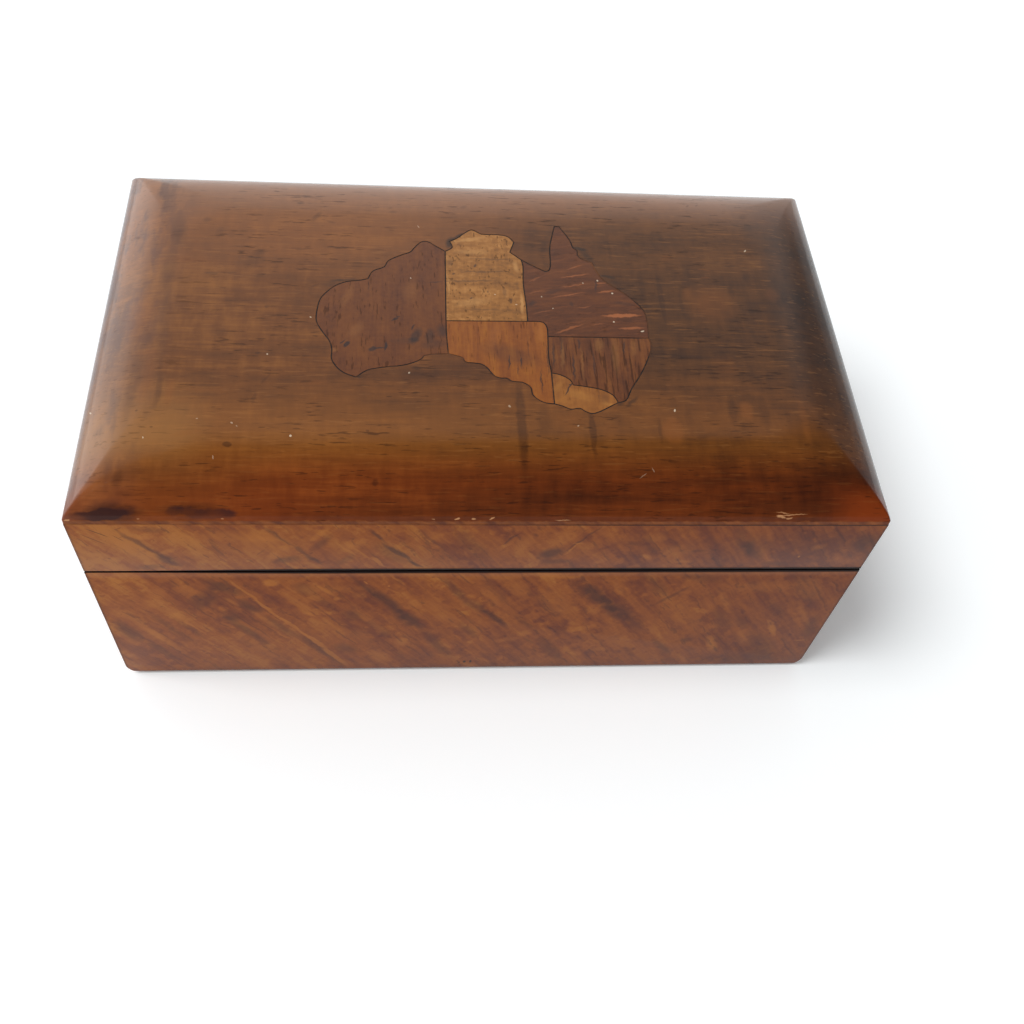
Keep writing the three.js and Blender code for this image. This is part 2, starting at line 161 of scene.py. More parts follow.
class Sheet:
    """The node sheet of one material or world."""

    noise_roughness = 0.55
    stir_detail = 3.0

    def __init__(self, owner: bpy.types.Material | bpy.types.World) -> None:
        """Empty the owner's node tree."""
        owner.use_nodes = True
        self.tree = owner.node_tree
        self.tree.nodes.clear()

    def node(
        self,
        kind: str,
        settings: dict[str, Any] | None = None,
        sockets: dict[str | int, Any] | None = None,
        output: str | int = 0,
    ) -> Socket:
        """Add a node, set it up and wire it.

        Args:
            kind: Blender's name of the node type.
            settings: Properties of the node, set first. stops are a ramp's positions and colours.
            sockets: Values or sockets for its inputs, by name or number.
            output: Which output to hand back.

        Returns:
            The chosen output, or the node's first input holder where it has no output.
        """
        made = self.tree.nodes.new(kind)
        for name, value in (settings or {}).items():
            if name == "stops":
                self._set_stops(made.color_ramp, value)
            else:
                setattr(made, name, value)
        for name, value in (sockets or {}).items():
            self._feed(made.inputs[name], value)
        return Socket(self, made.outputs[output] if len(made.outputs) else made.inputs[0])

    @staticmethod
    def _set_stops(ramp: bpy.types.ColorRamp, stops: Iterable[tuple[float, Colour]]) -> None:
        """Give a colour ramp its stops, keeping the first and last elements it starts with."""
        stops = list(stops)
        while len(ramp.elements) < len(stops):
            ramp.elements.new(0.5)
        for element, (position, colour) in zip(ramp.elements, stops):
            element.position = position
            element.color = (*colour, 1.0)

    def _feed(self, target: bpy.types.NodeSocket, value: Any) -> None:
        """Link a socket to an input, or write a plain value on it."""
        if isinstance(value, Socket):
            self.tree.links.new(value.plug, target)
        elif target.type == "RGBA":
            target.default_value = (*value, 1.0)
        else:
            target.default_value = value

    def maths(self, operation: str, *terms: Socket | float, clamp: bool = False) -> Socket:
        """Add a Math node on one to three terms."""
        return self.node(
            "ShaderNodeMath", {"operation": operation, "use_clamp": clamp}, dict(enumerate(terms))
        )

    def vectors(self, operation: str, first: Socket, other: Socket | Colour | float) -> Socket:
        """Add a Vector Math node on a vector and another, or on a vector and a number for SCALE."""
        second = "Scale" if operation == "SCALE" else 1
        return self.node(
            "ShaderNodeVectorMath", {"operation": operation}, {0: first, second: other}
        )

    def place(self) -> Socket:
        """Give the object's own coordinates in millimetres."""
        return self.vectors("SCALE", self.node("ShaderNodeTexCoord", output="Object"), 1 / MM)

    def split(self, vector: Socket) -> tuple[Socket, Socket, Socket]:
        """Split a vector into its three numbers."""
        parted = self.node("ShaderNodeSeparateXYZ", None, {0: vector})
        outputs = parted.plug.node.outputs
        return Socket(self, outputs[0]), Socket(self, outputs[1]), Socket(self, outputs[2])

    def joined(self, x: Socket | float, y: Socket | float, z: Socket | float) -> Socket:
        """Join three numbers into a vector."""
        return self.node("ShaderNodeCombineXYZ", None, {0: x, 1: y, 2: z})

    def laid(
        self, vector: Socket, size: Colour, lean: float = 0.0, at: Colour = (0, 0, 0)
    ) -> Socket:
        """Lay a pattern's own axes on the surface.

        Args:
            vector: Coordinates in millimetres.
            size: How many millimetres one unit of the pattern takes on each of its axes.
            lean: Turn about the third axis in degrees.
            at: Where the pattern's origin lies.

        Returns:
            Coordinates in the pattern's own units.
        """
        return self.node(
            "ShaderNodeMapping",
            {"vector_type": "TEXTURE"},
            {"Vector": vector, "Location": at, "Rotation": (0, 0, math.radians(lean)), "Scale": size},
        )

    def noise(
        self,
        vector: Socket,
        size: Colour,
        detail: float = 2.0,
        lean: float = 0.0,
        at: Colour = (0, 0, 0),
    ) -> Socket:
        """Give smooth noise whose pattern has a size in millimetres on each axis."""
        laid = self.laid(vector, size, lean, at)
        sockets = {"Vector": laid, "Scale": 1.0, "Detail": detail, "Roughness": self.noise_roughness}
        return self.node("ShaderNodeTexNoise", None, sockets)

    def shaken(self, vector: Socket, size: float, reach: float) -> Socket:
        """Move coordinates about by up to half of reach millimetres, so that marks get live edges."""
        laid = self.laid(vector, (size, size, size))
        sockets = {"Vector": laid, "Scale": 1.0, "Detail": self.stir_detail}
        stir = self.node("ShaderNodeTexNoise", None, sockets, output="Color")
        centred = self.vectors("SUBTRACT", stir, (0.5, 0.5, 0.5))
        return self.vectors("ADD", vector, self.vectors("SCALE", centred, reach))

    def flat(self, across: Socket, up: Socket) -> Socket:
        """Give coordinates on a face, with nothing out of it."""
        return self.joined(across, up, 0.0)

    def marks(self, face: Socket, marks: Iterable[Mark]) -> Socket:
        """Sum soft oval marks on a face.

        Args:
            face: Coordinates on the face in millimetres.
            marks: The marks to lay down.

        Returns:
            How strongly the marks cover each point, from 0 to 1.
        """
        total: Socket | float = 0.0
        for m in marks:
            oval = self.laid(
                face, (m.length / 2, m.width / 2, 1.0), m.lean, (m.across, m.up, 0.0)
            )
            cone = self.node("ShaderNodeTexGradient", {"gradient_type": "SPHERICAL"}, {0: oval}, 1)
            total = total + m.depth * self.maths("MULTIPLY", cone, m.crisp, clamp=True)
        return total.clamped() if isinstance(total, Socket) else self.maths("ADD", 0.0, 0.0)

    def ramp(self, value: Socket, *stops: tuple[float, str]) -> Socket:
        """Colour a value by stops of position and display colour."""
        return self.node(
            "ShaderNodeValToRGB", {"stops": [(p, srgb(c)) for p, c in stops]}, {0: value}
        )

    def blended(
        self, share: Socket | float, under: Socket | str, over: Socket | str, kind: str = "MIX"
    ) -> Socket:
        """Lay one colour over another.

        Args:
            share: How much of the upper colour shows.
            under: The lower colour, as a socket or a display colour.
            over: The upper colour.
            kind: MIX, or MULTIPLY for a stain that keeps what is under it.

        Returns:
            The mixed colour.
        """
        below, above = (srgb(c) if isinstance(c, str) else c for c in (under, over))
        settings = {"data_type": "RGBA", "blend_type": kind}
        return self.node("ShaderNodeMix", settings, {0: share, 6: below, 7: above}, 2)

    def looks(self) -> tuple[Socket, Socket]:
        """Give 1 where the camera looks, and 1 where the camera, polish or glass does, or else 0."""
        paths = self.node("ShaderNodeLightPath").plug.node.outputs
        kinds = ("Is Camera Ray", "Is Glossy Ray", "Is Transmission Ray")
        camera, polish, glass = (Socket(self, paths[name]) for name in kinds)
        return camera, (camera + polish + glass).clamped()

    def bump(self, height: Socket, depth: float) -> Socket:
        """Turn a height from 0 to 1 into a normal.

        Args:
            height: The surface's height pattern.
            depth: What a height of 1 stands for, in millimetres.

        Returns:
            The normal.
        """
        return self.node(
            "ShaderNodeBump", None, {"Height": height, "Distance": depth * MM, "Strength": 1.0}
        )

    def finish(self, **sockets: Any) -> None:
        """Wire a Principled shader to the output, with underscores for spaces in socket names."""
        named = {name.replace("_", " "): value for name, value in sockets.items()}
        shader = self.node("ShaderNodeBsdfPrincipled", None, named)
        self.node("ShaderNodeOutputMaterial", None, {"Surface": shader})


class Grain(Enum):
    """Which way a board's grain runs."""

    ALONG_X = (1, 0, 0)
    ALONG_Y = (0, 1, 0)

    def size(self, along: float, across: float) -> Colour:
        """Give a pattern's size on the three axes from its size along and across the grain."""
        x, y, z = (along if step else across for step in self.value)
        return x, y, z


class Face(Enum):
    """Which way a veneered face looks."""

    FRONT = "front"
    BACK = "back"
    LEFT = "left"
    RIGHT = "right"


@dataclass(frozen=True)
class LidTimber:
    """Old polished brown timber of the lid's board, with its stains, knots and chips."""

    name: str = "lid_timber"
    inner_level: float = 117.0
    edge_level: float = 118.3
    coat: float = 0.9
    inner_coat: float = 0.3
    coat_blur: float = 0.13
    relief: float = 0.055
    dark_marks: tuple[Mark, ...] = marked(
        (-94.5, -64.7, 3.4, 2.8, 0, 1, 3), (-41.9, -79, 3, 3.2, 0, 0.8, 2),
        (-131, -77.5, 7, 5, 60, 0.5), (-128, -83, 8, 3, 0, 0.35),
        (-132, -88.3, 24, 5.5, 0, 0.95, 2.5), (-106, -87.4, 28, 4.5, 1, 0.85, 2),
        (-45, -58.3, 1.6, 1.3, 0, 0.7, 3), (-121.5, -57, 1.5, 0.9, 0, 0.8, 3),
        (-127.5, -49.5, 1.2, 1, 0, 0.8, 3), (-87, -21, 2.4, 1.8, 20, 0.7, 2),
        (-92, 29, 14, 9, 65, 0.55, 1.4), (-90, 34, 7, 4, 20, 0.4), (-112.5, 52.5, 5, 4, 0, 0.55),
        (-107, 45, 9, 4, 80, 0.35), (-102, 44, 6, 4, 90, 0.35), (-108, 21.2, 7, 1.6, 0, 0.7, 2.5),
        (-100, 21.5, 5, 1.2, 0, 0.6, 2.5), (-85, 3.5, 3, 2, 30, 0.6, 2),
        (-67, 15.3, 3.5, 1.6, 20, 0.6, 2), (-68, 56, 9, 3, 60, 0.55), (-75, 64.5, 3.5, 2, 0, 0.6),
        (-62, 53, 5, 1.6, -20, 0.5), (-36, 60.5, 5, 2.4, 10, 0.5), (-6, 65, 4, 2.6, 20, 0.5),
        (72, 67, 5, 2, 10, 0.6), (93.5, 71.5, 3, 1.6, 60, 0.6), (98, 72, 2.6, 1.4, 50, 0.6),
        (-60, 37.5, 9, 1.6, 0, 0.5, 2), (-74, 36.3, 8, 1.4, 0, 0.4, 2),
        (-98, 37, 12, 1.2, 0, 0.3, 2), (-106, -31.7, 12, 1.6, 0, 0.45, 2),
        (-104, -37.6, 14, 2.2, 0, 0.4, 2), (-104, -42, 16, 2.4, 0, 0.4, 2),
        (-102, -11, 8, 6, 0, 0.3), (-86.5, -43.5, 7, 2.2, 85, 0.5, 2),
        (-75, -42.5, 22, 2, 0, 0.3, 2), (-40, -44, 26, 2.2, 0, 0.35, 2), (-123, -8, 60, 5, 92, 0.3),
        (-122, 42, 30, 6, 84, 0.25), (-131, -38, 44, 6, 88, 0.35), (-121, -40, 18, 3.4, 88, 0.5, 2),
        (-125, 24, 30, 8, 90, 0.5), (-124, 48, 24, 7, 90, 0.3), (-83, -34, 8, 1.2, 60, 0.4, 2),
        (-20, -30, 100, 11, 0, 0.7, 1.2), (21, 42, 18, 14, 0, 0.5, 1.2),
        (12, -54, 50, 4.6, 90, 0.8, 2.5), (20.5, -52, 20, 6.5, 90, 0.4, 2),
        (38.3, -58, 26, 3.4, 90, 0.8, 2.5), (48, -51, 14, 7, -20, 0.45),
        (64, -57, 14, 2.2, 90, 0.5, 2), (93.5, -47, 16, 5, 90, 0.55, 1.8),
        (106, -48, 20, 5, 90, 0.4), (76, -52, 18, 4, 90, 0.3), (115, -50, 20, 4, 90, 0.3),
        (66, 19, 26, 4, 90, 0.4, 2), (73.5, 12, 32, 2.8, 90, 0.65, 2.5),
        (81.5, 10, 22, 2.4, 90, 0.35), (88, 3, 16, 3, 90, 0.3), (55, 42, 24, 2, 90, 0.35),
        (104, -8, 40, 4.4, 90, 0.4), (118, 57, 8, 5, 10, 0.5), (117, 64, 7, 4, 45, 0.45),
        (112, 26, 7, 5, 70, 0.55), (104, 16, 9, 3, 90, 0.4), (106, 32.5, 9, 1.4, 0, 0.5, 2),
        (92, 41, 16, 1.6, 2, 0.4, 2), (68, 51, 6, 2.2, 0, 0.5), (76, 51, 7, 5, 30, 0.35),
        (22, 50, 20, 10, 0, 0.3), (80, -36, 90, 3.4, 0, 0.5, 1.8), (118, -34, 34, 5, 8, 0.45),
        (82, -59, 12, 3, 20, 0.4), (93, -57, 6, 1.4, 0, 0.7, 2), (120, -62.5, 4, 1.4, 0, 0.6, 2),
        (12.5, -65, 3, 5, 0, 0.5), (18, -60, 3, 1.2, 0, 0.7, 3), (130.5, -6.5, 3, 1.6, 40, 0.7, 2),
        (85, -78, 110, 5, 3, 0.55, 1.5), (120, -74, 34, 4, -14, 0.5, 1.5),
        (110, -86.5, 60, 4, 0, 0.5, 1.5), (30, -84, 80, 5, 0, 0.35, 1.5),
        # The long mark at 131 across runs down the whole right slope and is painted shade.
        (131, 0, 120, 16, 90, 0.45, 1.2), (62, -28, 22, 18, 0, 0.28),
    )
    light_marks: tuple[Mark, ...] = marked(
        (-117, -41, 18, 4, 88, 0.6), (-126, -34, 30, 6, 86, 0.5), (-128, -21, 12, 4, 0, 0.5),
        (-112, -45, 12, 3, 0, 0.3), (-107, -39.7, 28, 0.9, 0, 0.6, 2),
        (-97, -29.5, 12, 1.2, 0, 0.4), (-64, -35.5, 8, 2.2, 0, 0.5), (-119, 29, 30, 4, 0, 0.4),
        (-117, 59.5, 12, 5, 0, 0.5), (-86, 43.5, 18, 1.2, 0, 0.6, 2), (-55, 44, 26, 1.1, 0, 0.5, 2),
        (-25, 45, 26, 1.1, 0, 0.4, 2), (-60, 48.5, 14, 1.1, 0, 0.4, 2), (-109, -60, 16, 3, 10, 0.4),
        (69, -57, 15, 9.5, 90, 0.8, 3), (99, -46.5, 10, 6.5, 90, 0.75, 2.5),
        (121, -52, 26, 4, 90, 0.6), (30, -53, 14, 12, 0, 0.4), (45, -57, 10, 8, 0, 0.35),
        (85, -44, 16, 8, 0, 0.35), (95, -24, 14, 14, 0, 0.35), (121, 16, 9, 10, 0, 0.4),
        (85, 16, 10, 5, 80, 0.35), (94, 29.7, 6, 1.4, 0, 0.6, 2), (94, 25, 6, 1.4, 0, 0.5, 2),
        (105, 52.3, 9, 1.2, 0, 0.5, 2), (66, 29, 30, 1, 0, 0.4, 2), (79, 36, 6, 6, 60, 0.35),
        (94, 10, 26, 26, 0, 0.6), (-133, -2, 16, 32, 0, 0.6),
    )
    dust: tuple[Mark, ...] = marked(
        (-72.3, -60.8, 1.24, 1.24, 0, 0.7, 4), (-83.2, -21.8, 0.87, 0.87, 0, 0.56, 3),
        (-51, -23.7, 0.87, 0.87, 0, 0.56, 3), (-29.5, -30, 0.87, 0.87, 0, 0.49, 3),
        (70.8, -47, 1.49, 0.74, 80, 0.7, 3), (114.3, 42, 2.11, 0.81, 50, 0.56, 3),
        (33, -54.8, 0.99, 0.62, 20, 0.49, 3), (-68, -1.6, 0.74, 0.99, 0, 0.56, 3),
        (-93.6, -55, 0.99, 0.56, -45, 0.42, 3), (-91.8, -56.5, 0.74, 0.45, -45, 0.35, 3),
        (-106, -53, 0.87, 0.5, 0, 0.35, 3), (-124, -61.7, 1.12, 0.5, -60, 0.63, 3),
        (-146, -45.5, 1.24, 0.74, -45, 0.63, 3), (-99, -70, 1.49, 0.45, 85, 0.35, 3),
        (59.5, -73.8, 2.48, 0.4, -60, 0.2, 3), (55.5, -76, 4, 0.4, 35, 0.16, 3),
        (8, -46, 1.12, 1.12, 0, 0.35, 3), (-25.5, 51.5, 2.11, 0.5, -60, 0.35, 3),
    )
    chips: tuple[Mark, ...] = marked(
        (-148.2, 118.9, 2.4, 0.8, 10, 0.8, 3), (-124, 119.4, 1.2, 0.5, 0, 0.4, 3),
        (-95, 119.4, 1.3, 0.6, 0, 0.5, 3), (-21, 119.4, 1.4, 0.5, 0, 0.5, 3),
        (-12.5, 119.6, 2.4, 0.7, 15, 0.8, 3), (-6.5, 119.5, 2, 0.6, 0, 0.7, 3),
        (0, 119.7, 2.4, 0.7, 20, 0.8, 3), (26, 119.1, 6.5, 0.45, 0, 0.55, 3),
        (107.4, 120.3, 4, 1, -14, 0.7, 2.5), (110.5, 119.9, 3, 0.7, 10, 0.6, 3),
        (111.5, 120.9, 12, 0.45, 3, 0.6, 3), (108, 121.5, 6, 0.35, -6, 0.5, 3),
    )
    lip_stains: tuple[Mark, ...] = marked(
        (-139, 120, 22, 3.4, 0, 0.95, 3), (-134, 121, 16, 3.6, 4, 0.85, 2.5),
        (-136, 123, 16, 3.6, 8, 0.4, 1.8), (-127, 121.6, 7, 3, 20, 0.5, 2),
        (-111.5, 121.8, 7, 3.6, 10, 0.85, 3), (-105, 121.2, 12, 3.4, -8, 0.8, 2.5),
        (-97, 121, 16, 3.2, 0, 0.85, 3), (-104, 119.7, 26, 1.8, 0, 0.5, 2),
    )
    smears: tuple[Mark, ...] = marked(
        (-12.2, 42.5, 8, 4.5, 80, 0.9, 2), (-9, 46.3, 7, 2.2, 35, 0.8, 2),
        (42, 40.6, 9, 2.4, -15, 0.8, 2), (45, 36.5, 8, 4, -45, 0.5), (46, 31.5, 8, 5, -60, 0.35),
        (52.5, 24.3, 9, 2.2, -10, 0.6, 2), (12.5, 45, 7, 1.6, -70, 0.4),
        (-55, 19, 13, 1.8, 5, 0.5, 2), (-60, 17, 14, 5, 12, 0.35), (55, -43, 9, 2.2, 45, 0.6),
        (50, -44, 4, 3, 0, 0.6), (-27, -27.5, 6, 2.4, -20, 0.5), (-49, -32, 5, 1.2, -20, 0.6, 2),
        (16.5, -34.5, 6, 2, -45, 0.5), (38, -47.8, 5, 2.6, 0, 0.6),
    )

    def material(self) -> bpy.types.Material:
        """Make the material."""
        made = bpy.data.materials.new(self.name)
        sheet = Sheet(made)
        place = sheet.place()
        x, y, z = sheet.split(sheet.shaken(place, 3.5, 1.8))
        top = sheet.flat(x, y)
        slope = y.falling(-80, -61)
        colour, fibre = self._figure(sheet, place, x, y, slope)
        dashes = sheet.noise(place, (8, 1.0, 1.0), 2).rising(0.60, 0.66)
        clusters = sheet.noise(place, (24, 10, 10), 2, at=(0, 0, 7)).rising(0.38, 0.60)
        pores = dashes * (0.25 + 0.75 * clusters)
        colour = sheet.blended(pores * (0.52 - 0.24 * x.falling(-122, -96)), colour, "1f0e06")
        paler = sheet.noise(place, (11, 1.0, 1.0), 2, at=(5, 5, 0)).rising(0.60, 0.68)
        colour = sheet.blended(paler * (0.2 - 0.13 * slope), colour, "a36a34")
        outside = z.rising(self.inner_level, self.inner_level + 1)
        broken = (0.55 + 0.45 * sheet.noise(place, (9, 1.6, 1.6), 2)) * outside
        for marks, share, tint in (
            (self.dark_marks, broken * 0.66, "260f06"),
            (self.light_marks, broken * 0.5, "8c4f1c"),
            (self.smears, outside * 0.8, "17110d"),
        ):
            colour = sheet.blended(sheet.marks(top, marks) * share, colour, tint)
        colour = self._lip_worn(sheet, place, (x, y, z), colour, clusters)
        colour = sheet.blended(sheet.marks(top, self.dust) * outside, colour, "e6d2b4")
        waves = sheet.noise(place, (26, 5, 5), 2, at=(0, 3, 0))
        height = waves + fibre * 0.05 - pores * 0.1
        dull = z.falling(118.6, 124) * y.falling(-84, -76)
        polish = (self.coat - 0.78 * dull) * (1 - 0.2 * x.rising(126, 146))
        polish = polish * (self.inner_coat + (1 - self.inner_coat) * outside)
        sheet.finish(
            Base_Color=colour,
            Roughness=0.46 + 0.2 * fibre,
            Specular_IOR_Level=UNDER_POLISH,
            Coat_Weight=polish - 0.25 * pores,
            Coat_Roughness=self.coat_blur,
            Normal=sheet.bump(height, self.relief),
        )
        return made

    def _lip_worn(
        self,
        sheet: Sheet,
        place: Socket,
        axes: tuple[Socket, Socket, Socket],
        colour: Socket,
        clusters: Socket,
    ) -> Socket:
        """Stain and chip the lip along the front, and paint a warm highlight along its edge.

        Args:
            sheet: The sheet to work on.
            place: Coordinates in millimetres.
            axes: The same with live edges, as three numbers.
            colour: The timber's colour.
            clusters: Where its pores lie close together.

        Returns:
            The colour with the lip's wear on it.
        """
        x, y, z = axes
        lip = sheet.flat(x, z)
        at_front = y.falling(-86, -82)
        stained = sheet.marks(lip, self.lip_stains) * at_front * (0.5 + 0.7 * clusters)
        colour = sheet.blended(stained.clamped() * 0.74, colour, "23161d")
        # Painted highlight: a warm band along the lip's edge.
        lip_edge_highlight = sheet.ramp(sheet.noise(lip, (14, 4, 1), 2, -50), (0.35, "5f2d14"), (0.65, "8a4b1d"))
        on_edge = z.falling(self.edge_level, self.edge_level + 0.7) * y.falling(-89, -88)
        colour = sheet.blended(on_edge * 0.9, colour, lip_edge_highlight)
        rough_x, _, rough_z = sheet.split(sheet.shaken(place, 1.6, 1.0))
        chipped = sheet.marks(sheet.flat(rough_x, rough_z), self.chips) * at_front
        return sheet.blended(chipped, colour, "c48f62")

    def _figure(
        self, sheet: Sheet, place: Socket, x: Socket, y: Socket, slope: Socket
    ) -> tuple[Socket, Socket]:
        """Lay the timber's own figure, with painted shade that makes the front slope darker and redder.

        Args:
            sheet: The sheet to work on.
            place: Coordinates in millimetres.
            x: How far to the right.
            y: How far to the back.
            slope: 1 low on the front slope and 0 on the table.

        Returns:
            The colour, and the fine fibre.
        """
        drift = sheet.noise(place, (70, 20, 20), 3)
        stripes = sheet.noise(place, (48, 3.0, 3.0), 3, at=(0, 5, 0))
        bands = sheet.noise(place, (4.6, 13, 13), 3, at=(11, 0, 0))
        fibre = sheet.noise(place, (22, 1.2, 1.2), 3)
        tone = 0.5 + (drift - 0.5) * 0.9 + (stripes - 0.5) * 0.42 + (bands - 0.5) * 0.55
        # The tone falls towards the right: partly the timber's own, partly painted shade where the lid
        # gets less light.
        tone = tone + (fibre - 0.5) * 0.42 - x * 0.0012
        colour = sheet.ramp(tone, (0.12, "42220c"), (0.42, "603510"), (0.62, "6e3e14"), (0.9, "87521f"))
        golden = 0.16 + 0.18 * x.falling(-30, 90) + 0.12 * x.falling(-126, -70)
        golden = golden * y.falling(-60, -28) * y.rising(-82, -60)
        honey = sheet.blended(x.falling(-116, -96), "9a5e22", "b27a3e")
        colour = sheet.blended(golden, colour, honey)
        warm = y.rising(16, 38) * y.falling(50, 72) * x.falling(-24, 20)
        colour = sheet.blended(warm * 0.3, colour, "9a5e2e")
        # A lighter, greyer band along the back: partly the timber's own tone, partly painted sheen on the
        # back slope.
        colour = sheet.blended(y.rising(44, 80) * 0.66, colour, "9c6a48")
        # Painted sheen: a pale grey patch over the back right corner.
        colour = sheet.blended(y.rising(56, 82) * x.rising(30, 140) * 0.3, colour, "9c8c84")
        shade = (0.1 + 0.5 * x.rising(0, 70)) * (y.rising(-56, -16) - y.rising(50, 76))
        colour = sheet.blended(shade * x.rising(-80, 0), colour, "c6d6ec", "MULTIPLY")
        # Painted sheen: the left slope is paled towards its outer edge.
        outer = x.falling(-142, -118)
        pale = outer * (0.42 - 0.006 * y)
        colour = sheet.blended(pale.clamped() * 0.36, colour, "987050")
        smoky = sheet.noise(place, (8, 24, 8), 3, at=(0, 0, 4)).rising(0.44, 0.62)
        colour = sheet.blended(smoky * x.falling(-138, -112) * (0.45 + 0.002 * y), colour, "3c2628")
        # Painted reflection: a bluish grey strip along the outermost left edge.
        colour = sheet.blended(x.falling(-149.5, -145) * 0.4, colour, "5c5460")
        # Painted shade: the right slope is multiplied darker, as it gets less light from the right.
        right = x.rising(106, 140) * (0.56 + 0.001 * y) * y.falling(62, 92)
        colour = sheet.blended(right, colour, "8a7e7e", "MULTIPLY")
        glow = 0.3 * x.falling(-118, -40) + 0.4 * x.rising(118, 140)
        colour = sheet.blended(glow * y.falling(-89, -74), colour, "a8561a")
        # Painted shade: the front slope is multiplied darker and redder, where it catches no sheen.
        slope = slope * (0.8 - 0.35 * x.falling(-120, -70))
        return sheet.blended(slope, colour, "f4b688", "MULTIPLY"), fibre


@dataclass(frozen=True)
class FiguredVeneer:
    """Diagonally figured veneer on one face of the box, running on from lid to body."""

    face: Face
    dark_streaks: tuple[Mark, ...] = ()
    light_streaks: tuple[Mark, ...] = ()
    scars: tuple[Mark, ...] = ()
    lean: float = -59.0
    lip_height: float = 116.5
    joint_height: float = 84.6
    joint_shade_reach: float = 2.3
    half_length: float = 150.0
    half_depth: float = 90.0
    side_shift: float = 240.0
    coat_blur: float = 0.24
    relief: float = 0.05

    def material(self) -> bpy.types.Material:
        """Make the material."""
        made = bpy.data.materials.new("veneer_" + self.face.value)
        sheet = Sheet(made)
        x, y, z = sheet.split(sheet.place())
        lengthways = self.face in (Face.FRONT, Face.BACK)
        across = x if lengthways else y + self.side_shift
        half = self.half_length if lengthways else self.half_depth
        plain = sheet.flat(across, z)
        stirred = sheet.shaken(plain, 7, 3.0)
        above = z.rising(self.joint_height - 0.2, self.joint_height + 0.2)
        calm, drift = self._end_to_end_tone(across, above)
        colour, fibre, blot = self._figure(sheet, plain, stirred, calm, drift)
        lively = 0.8 + 0.5 * (fibre - 0.3)
        for streaks, share, tint in (
            (self.dark_streaks, 0.8, "361814"),
            (self.light_streaks, 0.72, "ab6624"),
        ):
            streaked = sheet.marks(stirred, streaks) * lively
            colour = sheet.blended(streaked.clamped() * share, colour, tint)
        hairs = sheet.noise(stirred, (60, 2.2, 1), 2, self.lean, at=(0, 9, 0)).rising(0.58, 0.72)
        colour = sheet.blended(hairs * 0.4, colour, "3c1a12")
        specks = sheet.noise(plain, (3.4, 0.9, 1), 1, 35).rising(0.68, 0.76)
        colour = sheet.blended(specks * 0.3, colour, "2c1006")
        colour, joint_shade = self._edges(sheet, colour, x if lengthways else y, z, half)
        colour = sheet.blended(sheet.marks(plain, self.scars), colour, "1f120c")
        height = fibre * 0.25 + sheet.noise(plain, (16, 10, 1), 2)
        sheet.finish(
            Base_Color=colour,
            Roughness=0.5 + 0.16 * blot,
            Specular_IOR_Level=UNDER_POLISH,
            Coat_Weight=(0.2 + 0.1 * blot) * (1 - joint_shade),
            Coat_Roughness=self.coat_blur,
            Normal=sheet.bump(height, self.relief),
        )
        return made

    def _end_to_end_tone(self, across: Socket, above: Socket) -> tuple[Socket | float, Socket | float]:
        """Give how the front gets lighter towards its left end and calmer towards its right, most of all
        on the lid.

        Args:
            across: How far along the face.
            above: 1 on the lid's frieze and 0 on the body.

        Returns:
            The figure's contrast, and what is added to its tone.
        """
        if self.face is not Face.FRONT:
            return 0.8, -0.04
        tone = 0.1 * above - across * (0.0003 + 0.0009 * above)
        return 1 - 0.3 * across.rising(10, 120), tone + 0.08 * (1 - above) * across.falling(90, 130)

    def _figure(
        self,
        sheet: Sheet,
        plain: Socket,
        stirred: Socket,
        calm: Socket | float,
        drift: Socket | float,
    ) -> tuple[Socket, Socket, Socket]:
        """Lay the broad slanting figure under the marks.

        Args:
            sheet: The sheet to work on.
            plain: Coordinates on the face in millimetres.
            stirred: The same with live edges.
            calm: The figure's contrast.
            drift: What is added to its tone.

        Returns:
            The colour, the fine fibre and the small blots.
        """
        rays = sheet.noise(stirred, (80, 9, 1), 3.5, self.lean)
        wide = sheet.noise(plain, (60, 26, 1), 2, self.lean, at=(7, 0, 0))
        fibre = sheet.noise(stirred, (26, 1.8, 1), 3, self.lean + 3)
        cross = sheet.noise(plain, (11, 2.2, 1), 3, 50)
        blot = sheet.noise(plain, (12, 7, 1), 2, self.lean, at=(3, 5, 0))
        tone = 0.5 + ((rays - 0.5) * 1.05 + (wide - 0.5) * 0.7 + (blot - 0.5) * 0.3) * calm
        tone = tone + (fibre - 0.5) * 0.46 + (cross - 0.5) * 0.2 + drift
        colour = sheet.ramp(
            tone, (0.08, "432018"), (0.34, "692f13"), (0.52, "7f3f14"), (0.68, "8c4a16"), (0.92, "a16021")
        )
        return colour, fibre, blot

    def _edges(
        self, sheet: Sheet, colour: Socket, along: Socket, z: Socket, half: float
    ) -> tuple[Socket, Socket]:
        """Paint shade into the joint and along the foot, lighten a band under the joint that is partly
        wear and partly painted highlight, and darken the corners and the line under the lip.

        Args:
            sheet: The sheet to work on.
            colour: The veneer's colour.
            along: The coordinate along the face, from its middle.
            z: Height.
            half: Half the face's length.

        Returns:
            The colour with its edges, and the share of the painted shade in the joint.
        """
        # Painted shade: a dark band, wider than the gap between lid and body, with the polish taken off
        # it.
        gape = self.joint_shade_reach * (0.36 + 0.64 * along.rising(-0.95 * half, -0.4 * half))
        joint_shade = (abs(z - self.joint_height) / gape).falling(0.5, 1.05)
        # Partly wear, partly painted highlight: a lighter band on the body's edge just under the joint.
        below = (z - self.joint_height + 3.4).rising(-2.2, 1.4) * z.falling(84.0, 84.2)
        colour = sheet.blended(below * 0.22, colour, "b07a58")
        # Painted shade: a darker band along the foot.
        colour = sheet.blended(z.falling(0.2, 3.6) * 0.6, colour, "2b1109")
        colour = sheet.blended(abs(along).rising(half - 1.3, half - 0.2) * 0.5, colour, "240e08")
        under_lip = z.rising(self.lip_height - 0.75, self.lip_height - 0.3)
        under_lip = under_lip * (0.15 + 0.75 * along.rising(-0.3 * half, 0.4 * half))
        colour = sheet.blended(under_lip, colour, "180b07")
        return sheet.blended(joint_shade, colour, "140503"), joint_shade


